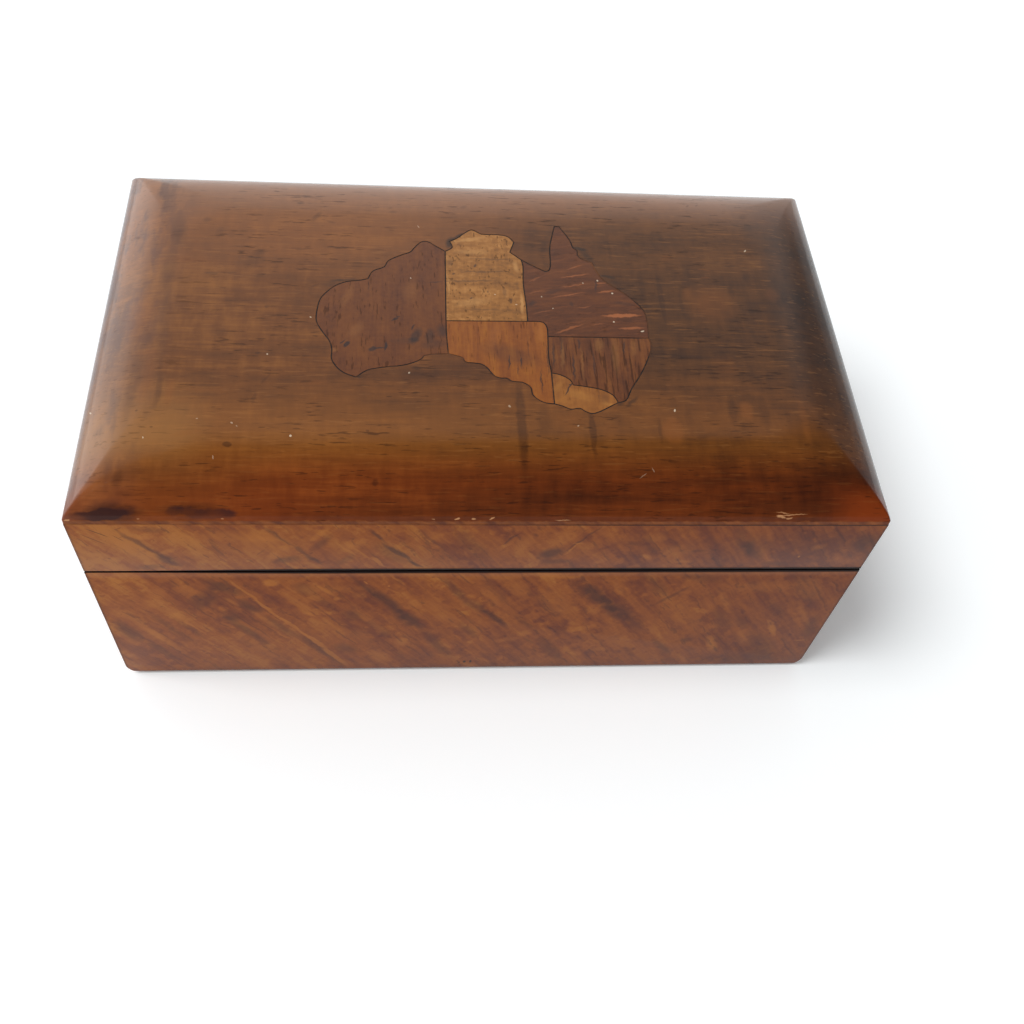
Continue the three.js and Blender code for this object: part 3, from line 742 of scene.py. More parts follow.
FRONT_DARK = marked(
    (-101, 73, 22, 10, -40, 0.8), (-109, 64, 24, 11, 58, 0.65), (-92, 58, 15, 9, -50, 0.85),
    (-95, 37, 46, 5.5, -58, 0.65), (-100, 50, 13, 8, -50, 0.65), (-143, 38, 24, 9, -68, 0.65),
    (-133, 22, 28, 5.5, -62, 0.5), (-126, 41, 34, 4.5, -62, 0.4), (-118, 40, 24, 4, -60, 0.4),
    (-66, 20, 46, 6.5, -58, 0.75), (-82, 41, 28, 7, -58, 0.55), (-70, 71, 13, 10, -45, 0.55),
    (-62, 59, 22, 6, -55, 0.35), (-52, 50, 12, 9, -50, 0.6), (-40, 36, 14, 6, -70, 0.45),
    (-56, 21, 14, 11, -40, 0.5), (-38, 61, 36, 8, -58, 0.85), (-29, 46, 24, 10, -55, 0.95),
    (-17, 24, 36, 8, -62, 0.55), (-47, 73, 26, 3.5, -58, 0.6), (-10, 68, 36, 6, -62, 0.6),
    (-1, 56, 16, 6, -60, 0.5), (6, 47, 26, 4.5, -56, 0.95), (-4, 36, 22, 6, -60, 0.45),
    (18, 44, 16, 4, -55, 0.4), (22, 27, 14, 2, -50, 0.4), (15, 3, 130, 6, 0, 0.4, 1.2),
    (-110, 3, 60, 5, 0, 0.35, 1.2), (33, 18, 32, 9, -62, 0.55), (46, 65, 36, 10, -52, 0.95),
    (57, 52, 26, 12, -52, 0.8), (66, 41, 18, 8, -55, 0.45), (77, 64, 26, 2.6, 50, 0.55),
    (70, 72, 24, 8, -60, 0.4), (86, 79, 28, 8, -15, 0.45), (82, 20, 22, 5.5, -55, 0.6),
    (92, 26, 7, 6, 0, 0.6), (103, 44, 28, 9, -65, 0.4), (112, 42, 18, 7, -60, 0.4),
    (125, 52, 22, 7, -60, 0.4), (128, 18, 42, 15, -62, 0.5), (145, 36, 28, 9, -82, 0.6),
    (120, 8, 50, 12, 0, 0.3), (-126, 104, 30, 3, -52, 0.75), (-118, 93, 14, 7, -50, 0.8),
    (-125, 88, 14, 5, 5, 0.45), (-121, 113, 18, 5, -10, 0.4), (-84, 98, 8, 1, 50, 0.5),
    (-75, 93, 16, 5, 15, 0.6), (-77, 109, 17, 3, -50, 0.8), (-70, 100, 14, 3, -55, 0.7),
    (-65, 93, 12, 3.4, -50, 0.85), (-61, 105, 16, 5, 58, 0.45), (-41, 109, 14, 2.2, -55, 0.85),
    (-34, 98, 20, 2.8, -50, 0.95), (-27, 89.5, 10, 2.4, -35, 0.95), (-36, 97, 24, 9, -50, 0.45),
    (-21, 106, 26, 2, -55, 0.55), (-15, 95, 14, 2, -55, 0.4), (-7, 104, 34, 10, -60, 0.35),
    (-53, 93, 14, 5, 45, 0.4), (8, 107, 12, 1.3, 58, 0.75, 2), (35, 107, 26, 1.5, 56, 0.7, 2),
    (24, 97, 15, 9, 42, 0.95), (26, 91, 15, 5, 5, 0.6), (17, 110, 4, 2, -45, 0.6),
    (55, 104, 8, 4, 0, 0.45), (62, 100, 12, 4, -50, 0.5), (81, 98.5, 8, 2.6, 10, 0.5),
    (87, 99.3, 4, 1.6, 0, 0.6), (97, 106, 26, 8, -65, 0.5), (102, 98, 18, 7, -50, 0.5),
    (113, 89, 12, 4.5, 0, 0.6), (145, 104, 16, 14, 90, 0.6), (128, 104, 60, 30, 0, 0.22, 1.2),
    (101, 102, 24, 20, 0, 0.25),
)
FRONT_LIGHT = marked(
    (-93, 69.5, 28, 1.7, -60, 0.8, 2.5), (-86.8, 58.5, 11, 2.6, -56, 1, 2.5),
    (-79, 45, 30, 2.4, -57, 0.9, 2.5), (-69, 29, 22, 3, -57, 0.95, 2.5),
    (-61, 14, 26, 3.6, -60, 0.95, 2.5), (-82.5, 76, 8, 7, 0, 0.95, 2.2),
    (-142, 53, 14, 10, 20, 0.55), (-128, 65, 24, 9, 65, 0.5), (-135, 40, 34, 5, -64, 0.6),
    (-129, 29, 30, 5, -62, 0.5), (-117, 43, 26, 1.6, -60, 0.6), (-110, 24, 24, 2.2, -62, 0.6),
    (-122, 52, 12, 2, -60, 0.5), (-99, 62, 11, 2.6, -52, 0.6), (-90, 18, 26, 14, -60, 0.4),
    (-97, 31, 24, 8, -60, 0.4), (-87, 46, 24, 3, -58, 0.55), (-74, 61, 26, 4.5, -58, 0.7),
    (-69.3, 51.5, 8, 1.8, -52, 0.8, 2), (-62, 70, 20, 2.6, -52, 0.6),
    (-57.6, 63.5, 4, 3.4, 0, 0.75), (-49, 66, 7, 6, 0, 0.45), (-32, 27, 11, 8, -60, 0.85),
    (-42, 14, 16, 11, -60, 0.6), (-49, 31, 16, 11, -60, 0.35), (-60, 40, 32, 8, -58, 0.4),
    (-45, 45, 34, 6, -60, 0.45), (-34, 78, 16, 1.8, -58, 0.6), (-27, 60, 26, 4, -60, 0.45),
    (-16, 52, 34, 9, -60, 0.45), (-41, 83, 20, 2.6, 0, 0.6), (3, 80, 32, 7, 0, 0.6),
    (29, 80.5, 28, 5, -4, 0.7), (5, 66, 30, 12, -60, 0.35), (30, 58, 36, 16, -60, 0.35),
    (46, 53, 11, 8, -60, 0.6), (54.5, 70, 14, 4, -62, 0.6), (66, 80, 12, 5, -60, 0.5),
    (20, 33, 8, 7, 0, 0.85), (13, 28, 15, 5, 20, 0.4), (54, 18, 8, 6, 0, 0.55),
    (43, 37, 18, 5, 20, 0.5), (62, 25, 26, 12, -60, 0.4), (86, 48, 34, 14, -60, 0.4),
    (101, 59, 26, 5, -62, 0.6), (127.5, 36, 20, 3.6, -65, 0.95, 2), (104, 22, 20, 5.5, -72, 0.95),
    (94, 8, 14, 4, -65, 0.6), (116, 28, 18, 5, -70, 0.4), (133, 70, 30, 14, -60, 0.4),
    (138, 48, 28, 4, -62, 0.5), (144, 24.5, 8, 1.6, 0, 0.5), (76, 34, 18, 4, -52, 0.45),
    (11, 10, 8, 3, 60, 0.4), (-124, 108.5, 9, 5, 20, 0.75), (-117, 99, 10, 3.4, 25, 0.8),
    (-133, 103, 16, 8, -60, 0.45), (-90, 108, 40, 11, 0, 0.55), (-80, 95, 11, 5, 58, 0.85),
    (-97, 101, 18, 5, -40, 0.5), (-75, 101, 6, 5, 0, 0.55), (-62, 110, 15, 4, 52, 0.7),
    (-66, 107, 8, 4, 20, 0.5), (-49, 104, 11, 8, 40, 0.85), (-41, 91, 11, 2.6, -55, 1, 2.5),
    (-51, 98, 16, 1.3, -50, 0.7), (-46, 96, 20, 1, -52, 0.6), (-20, 109, 9, 8, 0, 0.45),
    (13, 103, 16, 9, 75, 0.65), (27, 107, 18, 10, 60, 0.55), (61.5, 94.5, 6, 4, -40, 0.85),
    (62, 108, 12, 9, 0, 0.45), (73, 99, 15, 11, 0, 0.4), (77, 91, 9, 3, 0, 0.5),
    (32, 100.5, 13, 1, 60, 0.75, 2), (34, 104, 5, 1.2, 0, 0.7, 2), (127, 101, 7, 5, 0, 0.35),
    (121.8, 94.3, 1.2, 1.6, 0, 1, 4), (-46, 76, 3.4, 0.8, -60, 1, 3),
    (-36.8, 73.6, 1.6, 1.2, 0, 1, 3), (-80, 103, 32, 18, 0, 0.55), (-115, 71, 22, 10, -60, 0.45),
    (-62, 71, 40, 9, 0, 0.45), (14, 71, 22, 10, -60, 0.45), (112, 71, 40, 12, 0, 0.35),
)
FRONT_SCARS = marked(
    (-4.5, 7.4, 2.4, 1.6, 80, 0.9, 2.5), (-1.8, 7.6, 3, 1.2, 85, 0.9, 2.5),
    (-6.8, 6.8, 1.4, 1.2, 0, 0.7, 2.5), (-139.5, 111, 10, 0.5, -38, 0.7, 3),
    (-133, 107.5, 6, 0.4, -50, 0.6, 3), (-142, 107, 12, 0.5, -42, 0.5, 3),
)
SIDE_DARK = marked(
    (172, 66, 34, 8, -58, 0.8), (186, 40, 40, 7, -60, 0.7), (205, 72, 30, 6, -56, 0.7),
    (222, 38, 44, 9, -60, 0.8), (241, 60, 26, 5, -58, 0.5), (262, 24, 36, 8, -60, 0.7),
    (281, 62, 40, 8, -58, 0.75), (303, 34, 34, 7, -62, 0.6), (316, 74, 26, 6, -58, 0.6),
    (194, 103, 26, 3, -54, 0.7), (231, 101, 24, 3.5, -54, 0.8), (266, 104, 28, 4, -52, 0.6),
    (300, 100, 22, 5, -56, 0.6),
)
SIDE_LIGHT = marked(
    (164, 40, 30, 8, -60, 0.5), (180, 60, 28, 3, -58, 0.8), (196, 22, 20, 8, -60, 0.5),
    (213, 56, 32, 3, -58, 0.8), (236, 20, 18, 9, -60, 0.6), (250, 46, 34, 4, -60, 0.6),
    (272, 76, 18, 6, -50, 0.6), (292, 50, 30, 4, -60, 0.7), (312, 18, 22, 8, -60, 0.5),
    (180, 105, 24, 7, 10, 0.5), (216, 98, 12, 4, 55, 0.7), (250, 107, 18, 7, 20, 0.6),
    (284, 98, 16, 5, -50, 0.6),
)
BACK_DARK = mirrored(FRONT_DARK[::2])
BACK_LIGHT = mirrored(FRONT_LIGHT[1::2])


@dataclass(frozen=True)
class InlayTimber:
    """One of the six timbers of the map, with its own colours, pores and stains."""

    name: str
    colours: tuple[str, str, str]
    grain: Grain = Grain.ALONG_Y
    pore: str = "2b170d"
    pore_size: tuple[float, float] = (4.0, 0.5)
    pore_level: float = 0.64
    pore_depth: float = 0.6
    pore_edge: float = 0.07
    figure: float = 0.9
    figure_size: Colour = (6, 16, 6)
    figure_lean: float = 0.0
    fibre: float = 0.5
    mottle: float = 0.3
    fleck_depth: float = 0.0
    light: str = "b8864a"
    stain: str = "2c1f1e"
    coat: float = 0.9
    coat_blur: float = 0.15
    relief: float = 0.055
    dark_marks: tuple[Mark, ...] = ()
    light_marks: tuple[Mark, ...] = ()
    dust: tuple[Mark, ...] = ()

    def material(self) -> bpy.types.Material:
        """Make the material."""
        made = bpy.data.materials.new(self.name)
        sheet = Sheet(made)
        place = sheet.place()
        x, y, _ = sheet.split(sheet.shaken(place, 2.6, 1.8))
        top = sheet.flat(x, y)
        figure = sheet.noise(place, self.figure_size, 3, self.figure_lean)
        fibre = sheet.noise(place, self.grain.size(16, 1.1), 3)
        mottle = sheet.noise(place, (2.4, 2.0, 2.0), 4)
        along, across = self.pore_size
        pores = sheet.noise(place, self.grain.size(along, across), 1.5)
        pores = pores.rising(self.pore_level, self.pore_level + self.pore_edge)
        tone = 0.5 + (figure - 0.5) * self.figure + (fibre - 0.5) * self.fibre
        tone = tone + (mottle - 0.5) * self.mottle
        low, mid, high = self.colours
        colour = sheet.ramp(tone, (0.2, low), (0.5, mid), (0.82, high))
        colour = sheet.blended(pores * self.pore_depth, colour, self.pore)
        flecks = sheet.noise(top, (11, 1.5, 1), 1.5, self.figure_lean).rising(0.58, 0.66)
        colour = sheet.blended(flecks * self.fleck_depth, colour, self.light)
        for marks, share, tint in (
            (self.light_marks, 0.8, self.light),
            (self.dark_marks, 0.85, self.stain),
            (self.dust, 1.0, "efdcc0"),
        ):
            colour = sheet.blended(sheet.marks(top, marks) * share, colour, tint)
        waves = sheet.noise(place, (26, 5, 5), 2, at=(0, 3, 0))
        sheet.finish(
            Base_Color=colour,
            Roughness=0.44 + 0.16 * figure,
            Specular_IOR_Level=UNDER_POLISH,
            Coat_Weight=self.coat - 0.35 * pores,
            Coat_Roughness=self.coat_blur,
            Normal=sheet.bump(waves + fibre * 0.06 - pores * 0.12, self.relief),
        )
        return made


INLAYS: dict[str, InlayTimber] = {
    "map_western": InlayTimber(
        "western_timber",
        ("532810", "693814", "7a4518"),
        pore_size=(6.0, 1.0),
        pore_level=0.62,
        pore_depth=0.45,
        figure=0.7,
        figure_size=(9, 18, 6),
        fibre=0.4,
        mottle=0.45,
        light="8f5a2c",
        dark_marks=marked(
            (-27, -11, 11, 5, 70, 0.75, 2), (-21.5, -10.5, 9, 5, 80, 0.65),
            (-16.5, -8, 9, 6, 90, 0.65), (-53.5, -16, 4.4, 2.2, 60, 1, 2.5),
            (-55, -14.5, 4.4, 0.8, 40, 0.8, 2), (-43.5, -18, 4, 2.4, 20, 0.9, 2.5),
            (-38.5, -16.5, 5.5, 1.4, 80, 1, 2.5), (-41, -17.6, 5, 0.9, 10, 0.9, 2),
            (-28, -6.5, 4, 1, 70, 0.9, 2), (-35, -2, 4, 1.4, 40, 0.9, 2),
            (-33.8, -0.6, 2.4, 0.8, -20, 0.7, 2), (-45.5, 16, 8, 0.8, 88, 0.45),
            (-19, 18.8, 8, 1, 10, 0.5), (-20, -15, 14, 6, 10, 0.4), (-30, -13.5, 16, 4, 5, 0.3),
        ),
        light_marks=marked(
            (-50, -8, 12, 6, 60, 0.45), (-58.5, -19, 5, 3.4, 30, 0.6), (-54, 10, 16, 5, 70, 0.4),
            (-29, 14, 16, 7, 80, 0.35), (-56, 20, 12, 1.6, 25, 0.5),
        ),
        dust=marked((-28.9, 20.8, 0.62, 0.74, 0, 0.7, 3)),
    ),
    "map_northern": InlayTimber(
        "northern_timber",
        ("74491f", "98632b", "b88044"),
        pore="46290f",
        pore_size=(2.4, 1.3),
        pore_level=0.61,
        pore_depth=0.6,
        figure=0.75,
        figure_size=(30, 4.2, 3),
        figure_lean=2.0,
        fibre=0.3,
        mottle=0.75,
        light="d09a5c",
        dark_marks=marked(
            (-5, 20, 30, 1.4, 3, 0.5, 2), (2, 25.5, 26, 1.2, 2, 0.4, 2),
            (-2.5, 29, 1.4, 2.6, 0, 0.8, 2), (-11.5, 24, 1.4, 1.4, 0, 0.7, 2),
            (-4.5, 10.2, 1.6, 1.4, 0, 0.8, 2), (4, 33, 22, 1.2, 0, 0.4, 2), (1, 4, 26, 1.4, 0, 0.3),
            (9, 14, 2, 8, 0, 0.4), (11.5, 9, 1.4, 3, 0, 0.7, 2), (-12.5, 30.5, 3, 6, 0, 0.4),
            (2, 14, 1.4, 2.2, 0, 0.6, 2),
        ),
        light_marks=marked(
            (-4, 44.5, 16, 3, 12, 0.5), (14.5, 29, 8, 3, 100, 0.5), (15.8, 8, 14, 1.8, 88, 0.6),
            (-13.6, 17, 14, 1.4, 90, 0.5), (-4, 8, 18, 6, 10, 0.35), (-3, 37, 18, 4, 0, 0.35),
        ),
        dust=marked((5.2, 12.8, 0.56, 0.56, 0, 0.5, 3), (13.5, 7.2, 0.56, 0.74, 0, 0.5, 3)),
    ),
    "map_southern": InlayTimber(
        "southern_timber",
        ("70370d", "8b4c13", "a06019"),
        pore="34190c",
        pore_size=(8.0, 0.9),
        pore_level=0.62,
        pore_depth=0.42,
        figure_size=(5, 30, 5),
        light="b06c30",
        dark_marks=marked(
            (9, -24, 9, 0.8, 88, 0.8, 2), (13.6, -24, 9, 0.7, 88, 0.7, 2),
            (20.8, -33, 14, 0.8, 88, 0.8, 2), (12, -28, 6, 0.6, 88, 0.6, 2),
            (17, -15, 16, 0.6, 88, 0.4), (24, -22, 20, 0.8, 90, 0.7), (10, -20, 30, 12, -20, 0.36),
        ),
        light_marks=marked((4, -10, 16, 6, 80, 0.3), (22, -8, 12, 3, 88, 0.3)),
    ),
    "map_south_eastern": InlayTimber(
        "south_eastern_timber",
        ("754214", "8d5520", "a46828"),
        pore="5a3517",
        pore_size=(5.0, 1.0),
        pore_level=0.64,
        pore_depth=0.4,
        figure_size=(9, 8, 6),
        light="b87c36",
        dark_marks=marked(
            (31, -37, 8, 0.8, 62, 0.9, 2.5), (32.3, -34.6, 3.4, 0.7, 30, 0.9, 2.5),
            (25, -31, 4, 4, 0, 0.35), (44.5, -42, 9, 5, 80, 0.25), (42.5, -40, 10, 0.6, 84, 0.4),
        ),
        light_marks=marked(
            (35, -40, 14, 6, -18, 0.4), (27, -36, 8, 4, 60, 0.35), (46, -44.5, 8, 2.4, -12, 0.5),
        ),
    ),
    "map_north_eastern": InlayTimber(
        "north_eastern_timber",
        ("49240e", "5d3013", "6e3c17"),
        grain=Grain.ALONG_X,
        pore_size=(3.6, 1.1),
        pore_level=0.64,
        pore_depth=0.34,
        figure_size=(12, 3.4, 3),
        figure_lean=12.0,
        light="a86236",
        fleck_depth=0.1,
        dark_marks=marked(
            (20, 8, 5, 3, 40, 0.6), (29, 15, 10, 3, 20, 0.4), (47, 19, 8, 1.2, 88, 0.7),
            (57, 9, 14, 2.4, -8, 0.4), (36, 8, 1.6, 4, 0, 0.5), (51, 26, 12, 5, -40, 0.4),
        ),
        light_marks=marked(
            (56, 2.3, 18, 2.2, 3, 1, 2.4), (51, 15.6, 9, 1.3, 8, 0.75, 2.2),
            (49.5, 20.5, 7, 1, 5, 0.6, 2), (39, 24.4, 15, 1.1, 10, 0.6, 2),
            (38, 18.8, 15, 1, 12, 0.55, 2), (35, 13.2, 16, 1, 14, 0.6, 2),
            (39, 29.5, 9, 0.9, 25, 0.5, 2), (22, 22, 8, 0.9, 35, 0.4), (22, 14.5, 9, 1, 20, 0.4),
            (24, 3.5, 10, 1, 15, 0.4), (34, -5.5, 15, 1.3, 25, 0.65, 2), (41, 6.5, 8, 0.9, 10, 0.4),
            (59, -4.6, 13, 1.6, 5, 0.75, 2), (45, -3, 10, 0.8, 10, 0.35),
        ),
        dust=marked(
            (53.5, 14.4, 0.81, 0.87, 0, 0.7, 3), (41.8, 20.3, 0.62, 0.74, 0, 0.56, 3),
            (48, 21.8, 0.87, 1.12, 0, 0.63, 3), (28, 5.4, 0.74, 0.68, 0, 0.63, 3),
            (65.5, 8, 1.24, 0.74, 10, 0.56, 3), (63.5, -6.2, 1.86, 0.99, 30, 0.63, 3),
            (23.8, 12, 0.5, 0.87, 0, 0.49, 3), (52.4, -1.4, 0.87, 0.87, 45, 0.63, 3),
        ),
    ),
    "map_eastern": InlayTimber(
        "eastern_timber",
        ("4a230c", "673612", "824c1b"),
        pore="23120b",
        pore_size=(13.0, 0.85),
        pore_level=0.57,
        pore_depth=0.52,
        figure_size=(4.0, 26, 5),
        light="91602f",
        dark_marks=marked(
            (26.5, -20, 16, 1.2, 86, 0.7, 2), (34, -26, 16, 1.2, 88, 0.8, 2),
            (42, -24, 16, 1, 88, 0.6, 2), (37, -14, 8, 1, 88, 0.7, 2),
            (55, -15, 8, 0.9, 80, 0.8, 2), (30, -15, 9, 0.8, 80, 0.6, 2),
        ),
        light_marks=marked(
            (30, -19, 20, 2, 86, 0.55), (45, -14, 10, 5, 88, 0.5), (37.5, -24, 22, 1.2, 88, 0.45),
            (51, -20, 24, 4, 88, 0.4), (59, -15, 12, 4, 80, 0.3),
        ),
        dust=marked((55.8, -43, 1.6, 1.6, 0, 0.6, 3)),
    ),
}


@dataclass(frozen=True)
class CarcaseTimber:
    """Planed, unpolished timber of the walls and the bottom board, darkened by age and handling."""

    name: str
    grain: Grain

    def material(self) -> bpy.types.Material:
        """Make the material."""
        made = bpy.data.materials.new(self.name)
        sheet = Sheet(made)
        place = sheet.shaken(sheet.place(), 60, 5)
        rings = sheet.noise(place, self.grain.size(150, 5.5), 2)
        fibre = sheet.noise(place, self.grain.size(30, 0.5), 3)
        drift = sheet.noise(place, (55, 55, 40), 2)
        pores = sheet.noise(place, self.grain.size(7, 0.3), 1).rising(0.66, 0.74)
        tone = 0.5 + (rings - 0.5) * 1.1 + (fibre - 0.5) * 0.5 + (drift - 0.5) * 0.4
        colour = sheet.ramp(tone, (0.2, "80512f"), (0.5, "9d6b42"), (0.8, "b58455"))
        colour = sheet.blended(pores * 0.5, colour, "4c2d19")
        grime = sheet.noise(place, (24, 24, 24), 4).rising(0.55, 0.8)
        colour = sheet.blended(grime * 0.4, colour, "5b3b26")
        sheet.finish(
            Base_Color=colour,
            Roughness=0.62 + 0.14 * fibre,
            Specular_IOR_Level=0.3,
            Normal=sheet.bump(fibre * 0.7 - pores * 0.5 + rings * 0.3, 0.06),
        )
        return made


@dataclass(frozen=True)
class Mastic:
    """Dark filler in the lines between the inlays, worn thin in places."""

    name: str = "mastic"
    worn: tuple[Mark, ...] = marked(
        (54, 25, 44, 13, -50, 0.8, 2), (-46, 33, 26, 8, 30, 0.4, 2), (-16, -21, 26, 6, 0, 0.45, 2),
        (36, -40, 26, 8, -20, 0.5, 2), (65, -6, 10, 30, 0, 0.35, 2),
    )

    def material(self) -> bpy.types.Material:
        """Make the material."""
        made = bpy.data.materials.new(self.name)
        sheet = Sheet(made)
        place = sheet.place()
        lump = sheet.noise(place, (3.0, 3.0, 3.0), 3)
        colour = sheet.ramp(lump, (0.3, "1a1514"), (0.5, "261f1c"), (0.68, "4a2f1d"))
        x, y, _ = sheet.split(place)
        thin = sheet.marks(sheet.flat(x, y), self.worn) * (0.6 + 0.8 * lump)
        colour = sheet.blended(thin.clamped(), colour, "75482a")
        sheet.finish(
            Base_Color=colour,
            Roughness=0.5 + 0.2 * lump,
            Specular_IOR_Level=0.3,
            Normal=sheet.bump(lump, 0.05),
        )
        return made


@dataclass(frozen=True)
class AgedMetal:
    """Rolled or drawn metal with tarnish, fine scratches and dull patches."""

    name: str
    clean: str
    tarnish: str
    dark: str
    roughness: float

    def material(self) -> bpy.types.Material:
        """Make the material."""
        made = bpy.data.materials.new(self.name)
        sheet = Sheet(made)
        place = sheet.place()
        patches = sheet.noise(place, (5, 5, 5), 4)
        scratches = sheet.noise(place, (9, 0.12, 0.12), 2).rising(0.6, 0.75)
        spots = sheet.noise(place, (1.3, 1.3, 1.3), 2).rising(0.66, 0.74)
        colour = sheet.blended(patches.rising(0.38, 0.68), self.clean, self.tarnish)
        colour = sheet.blended(spots * 0.7, colour, self.dark)
        sheet.finish(
            Base_Color=colour,
            Metallic=0.95 - 0.25 * spots,
            Roughness=self.roughness + 0.22 * patches + 0.1 * scratches,
            Normal=sheet.bump(patches * 0.5 - scratches * 0.4, 0.02),
        )
        return made


@dataclass(frozen=True)
class FloorPaper:
    """Plain white paper, which is white in the picture and lights the box no more than paper does."""

    name: str = "floor_paper"
    share: float = 0.92
    seen: float = 1.14

    def material(self) -> bpy.types.Material:
        """Make the material."""
        made = bpy.data.materials.new(self.name)
        sheet = Sheet(made)
        _, looked_at = sheet.looks()
        level = self.share + (self.seen - self.share) * looked_at
        cool = sheet.joined(level * 0.968, level, level * 1.014)
        sheet.finish(Base_Color=cool, Roughness=0.95, Specular_IOR_Level=0.0)
        return made


def picked(piece: bpy.types.Object) -> None:
    """Select one piece alone, and make it the active one."""
    bpy.ops.object.select_all(action="DESELECT")
    bpy.context.view_layer.objects.active = piece
    piece.select_set(True)


def worked(piece: bpy.types.Object, kind: str, **settings: Any) -> None:
    """Put a modifier of some kind on a piece, set it up and apply it."""
    picked(piece)
    tool = piece.modifiers.new(kind.lower(), kind)
    for name, value in settings.items():
        setattr(tool, name, value)
    bpy.ops.object.modifier_apply(modifier=tool.name)


class Bench:
    """Holds one piece in edit mode while it is worked on, with everything else deselected."""

    def __init__(self, piece: bpy.types.Object, element: str = "FACE") -> None:
        """Keep the piece and the kind of element that is worked on: VERT, EDGE or FACE."""
        self.piece = piece
        self.element = element

    def __enter__(self) -> Bench:
        """Open the piece with nothing selected in it."""
        picked(self.piece)
        bpy.ops.object.mode_set(mode="EDIT")
        bpy.ops.mesh.select_mode(type=self.element)
        bpy.ops.mesh.select_all(action="DESELECT")
        return self

    def __exit__(
        self,
        kind: type[BaseException] | None,
        error: BaseException | None,
        trace: TracebackType | None,
    ) -> None:
        """Close the piece again."""
        bpy.ops.object.mode_set(mode="OBJECT")

    def _mesh(self) -> bmesh.types.BMesh:
        """Give the mesh under work."""
        return bmesh.from_edit_mesh(self.piece.data)

    def pick_faces(self, test: Callable[[bmesh.types.BMFace], bool]) -> None:
        """Select only the faces that pass a test of place or normal."""
        mesh = self._mesh()
        for found in mesh.faces:
            found.select_set(test(found))
        bmesh.update_edit_mesh(self.piece.data)

    def pick_edges(self, test: Callable[[bmesh.types.BMEdge], bool]) -> None:
        """Select only the edges that pass a test of place."""
        mesh = self._mesh()
        for found in mesh.edges:
            found.select_set(test(found))
        bmesh.update_edit_mesh(self.piece.data)


def shaded(piece: bpy.types.Object, angle: float) -> None:
    """Shade a piece smooth, but for edges sharper than angle in degrees."""
    with Bench(piece, "EDGE"):
        bpy.ops.mesh.select_all(action="SELECT")
        bpy.ops.mesh.normals_make_consistent(inside=False)
        bpy.ops.mesh.mark_sharp(clear=True)
        bpy.ops.mesh.select_all(action="DESELECT")
        bpy.ops.mesh.edges_select_sharp(sharpness=math.radians(angle))
        bpy.ops.mesh.mark_sharp()
    bpy.ops.object.shade_smooth(keep_sharp_edges=True)


def weighted(piece: bpy.types.Object) -> None:
    """Let broad faces rule the shading of the narrow ones beside them."""
    worked(piece, "WEIGHTED_NORMAL", mode="FACE_AREA", weight=50, keep_sharp=True)


def dressed(piece: bpy.types.Object, material: bpy.types.Material) -> None:
    """Give a piece one material."""
    if not piece.material_slots:
        piece.data.materials.append(None)
    for slot in piece.material_slots:
        slot.material = material


def merged_copy(node: str, name: str) -> bpy.types.Object:
    """Copy a CAD node's mesh to a new piece, with its loose triangles merged into faces.

    Args:
        node: The CAD node.
        name: The new piece's name.

    Returns:
        The new piece, which stands where the node does.
    """
    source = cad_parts[node]
    piece = bpy.data.objects.new(name, source.data.copy())
    bpy.context.scene.collection.objects.link(piece)
    piece.data.materials.clear()
    with Bench(piece, "VERT"):
        bpy.ops.mesh.select_all(action="SELECT")
        bpy.ops.mesh.remove_doubles(threshold=0.002 * MM)
        bpy.ops.mesh.dissolve_limited(angle_limit=math.radians(0.3))
    return piece


def cut(piece: bpy.types.Object, cutter: bpy.types.Object) -> None:
    """Cut one piece's shape out of another."""
    worked(piece, "BOOLEAN", operation="DIFFERENCE", solver="EXACT", object=cutter)


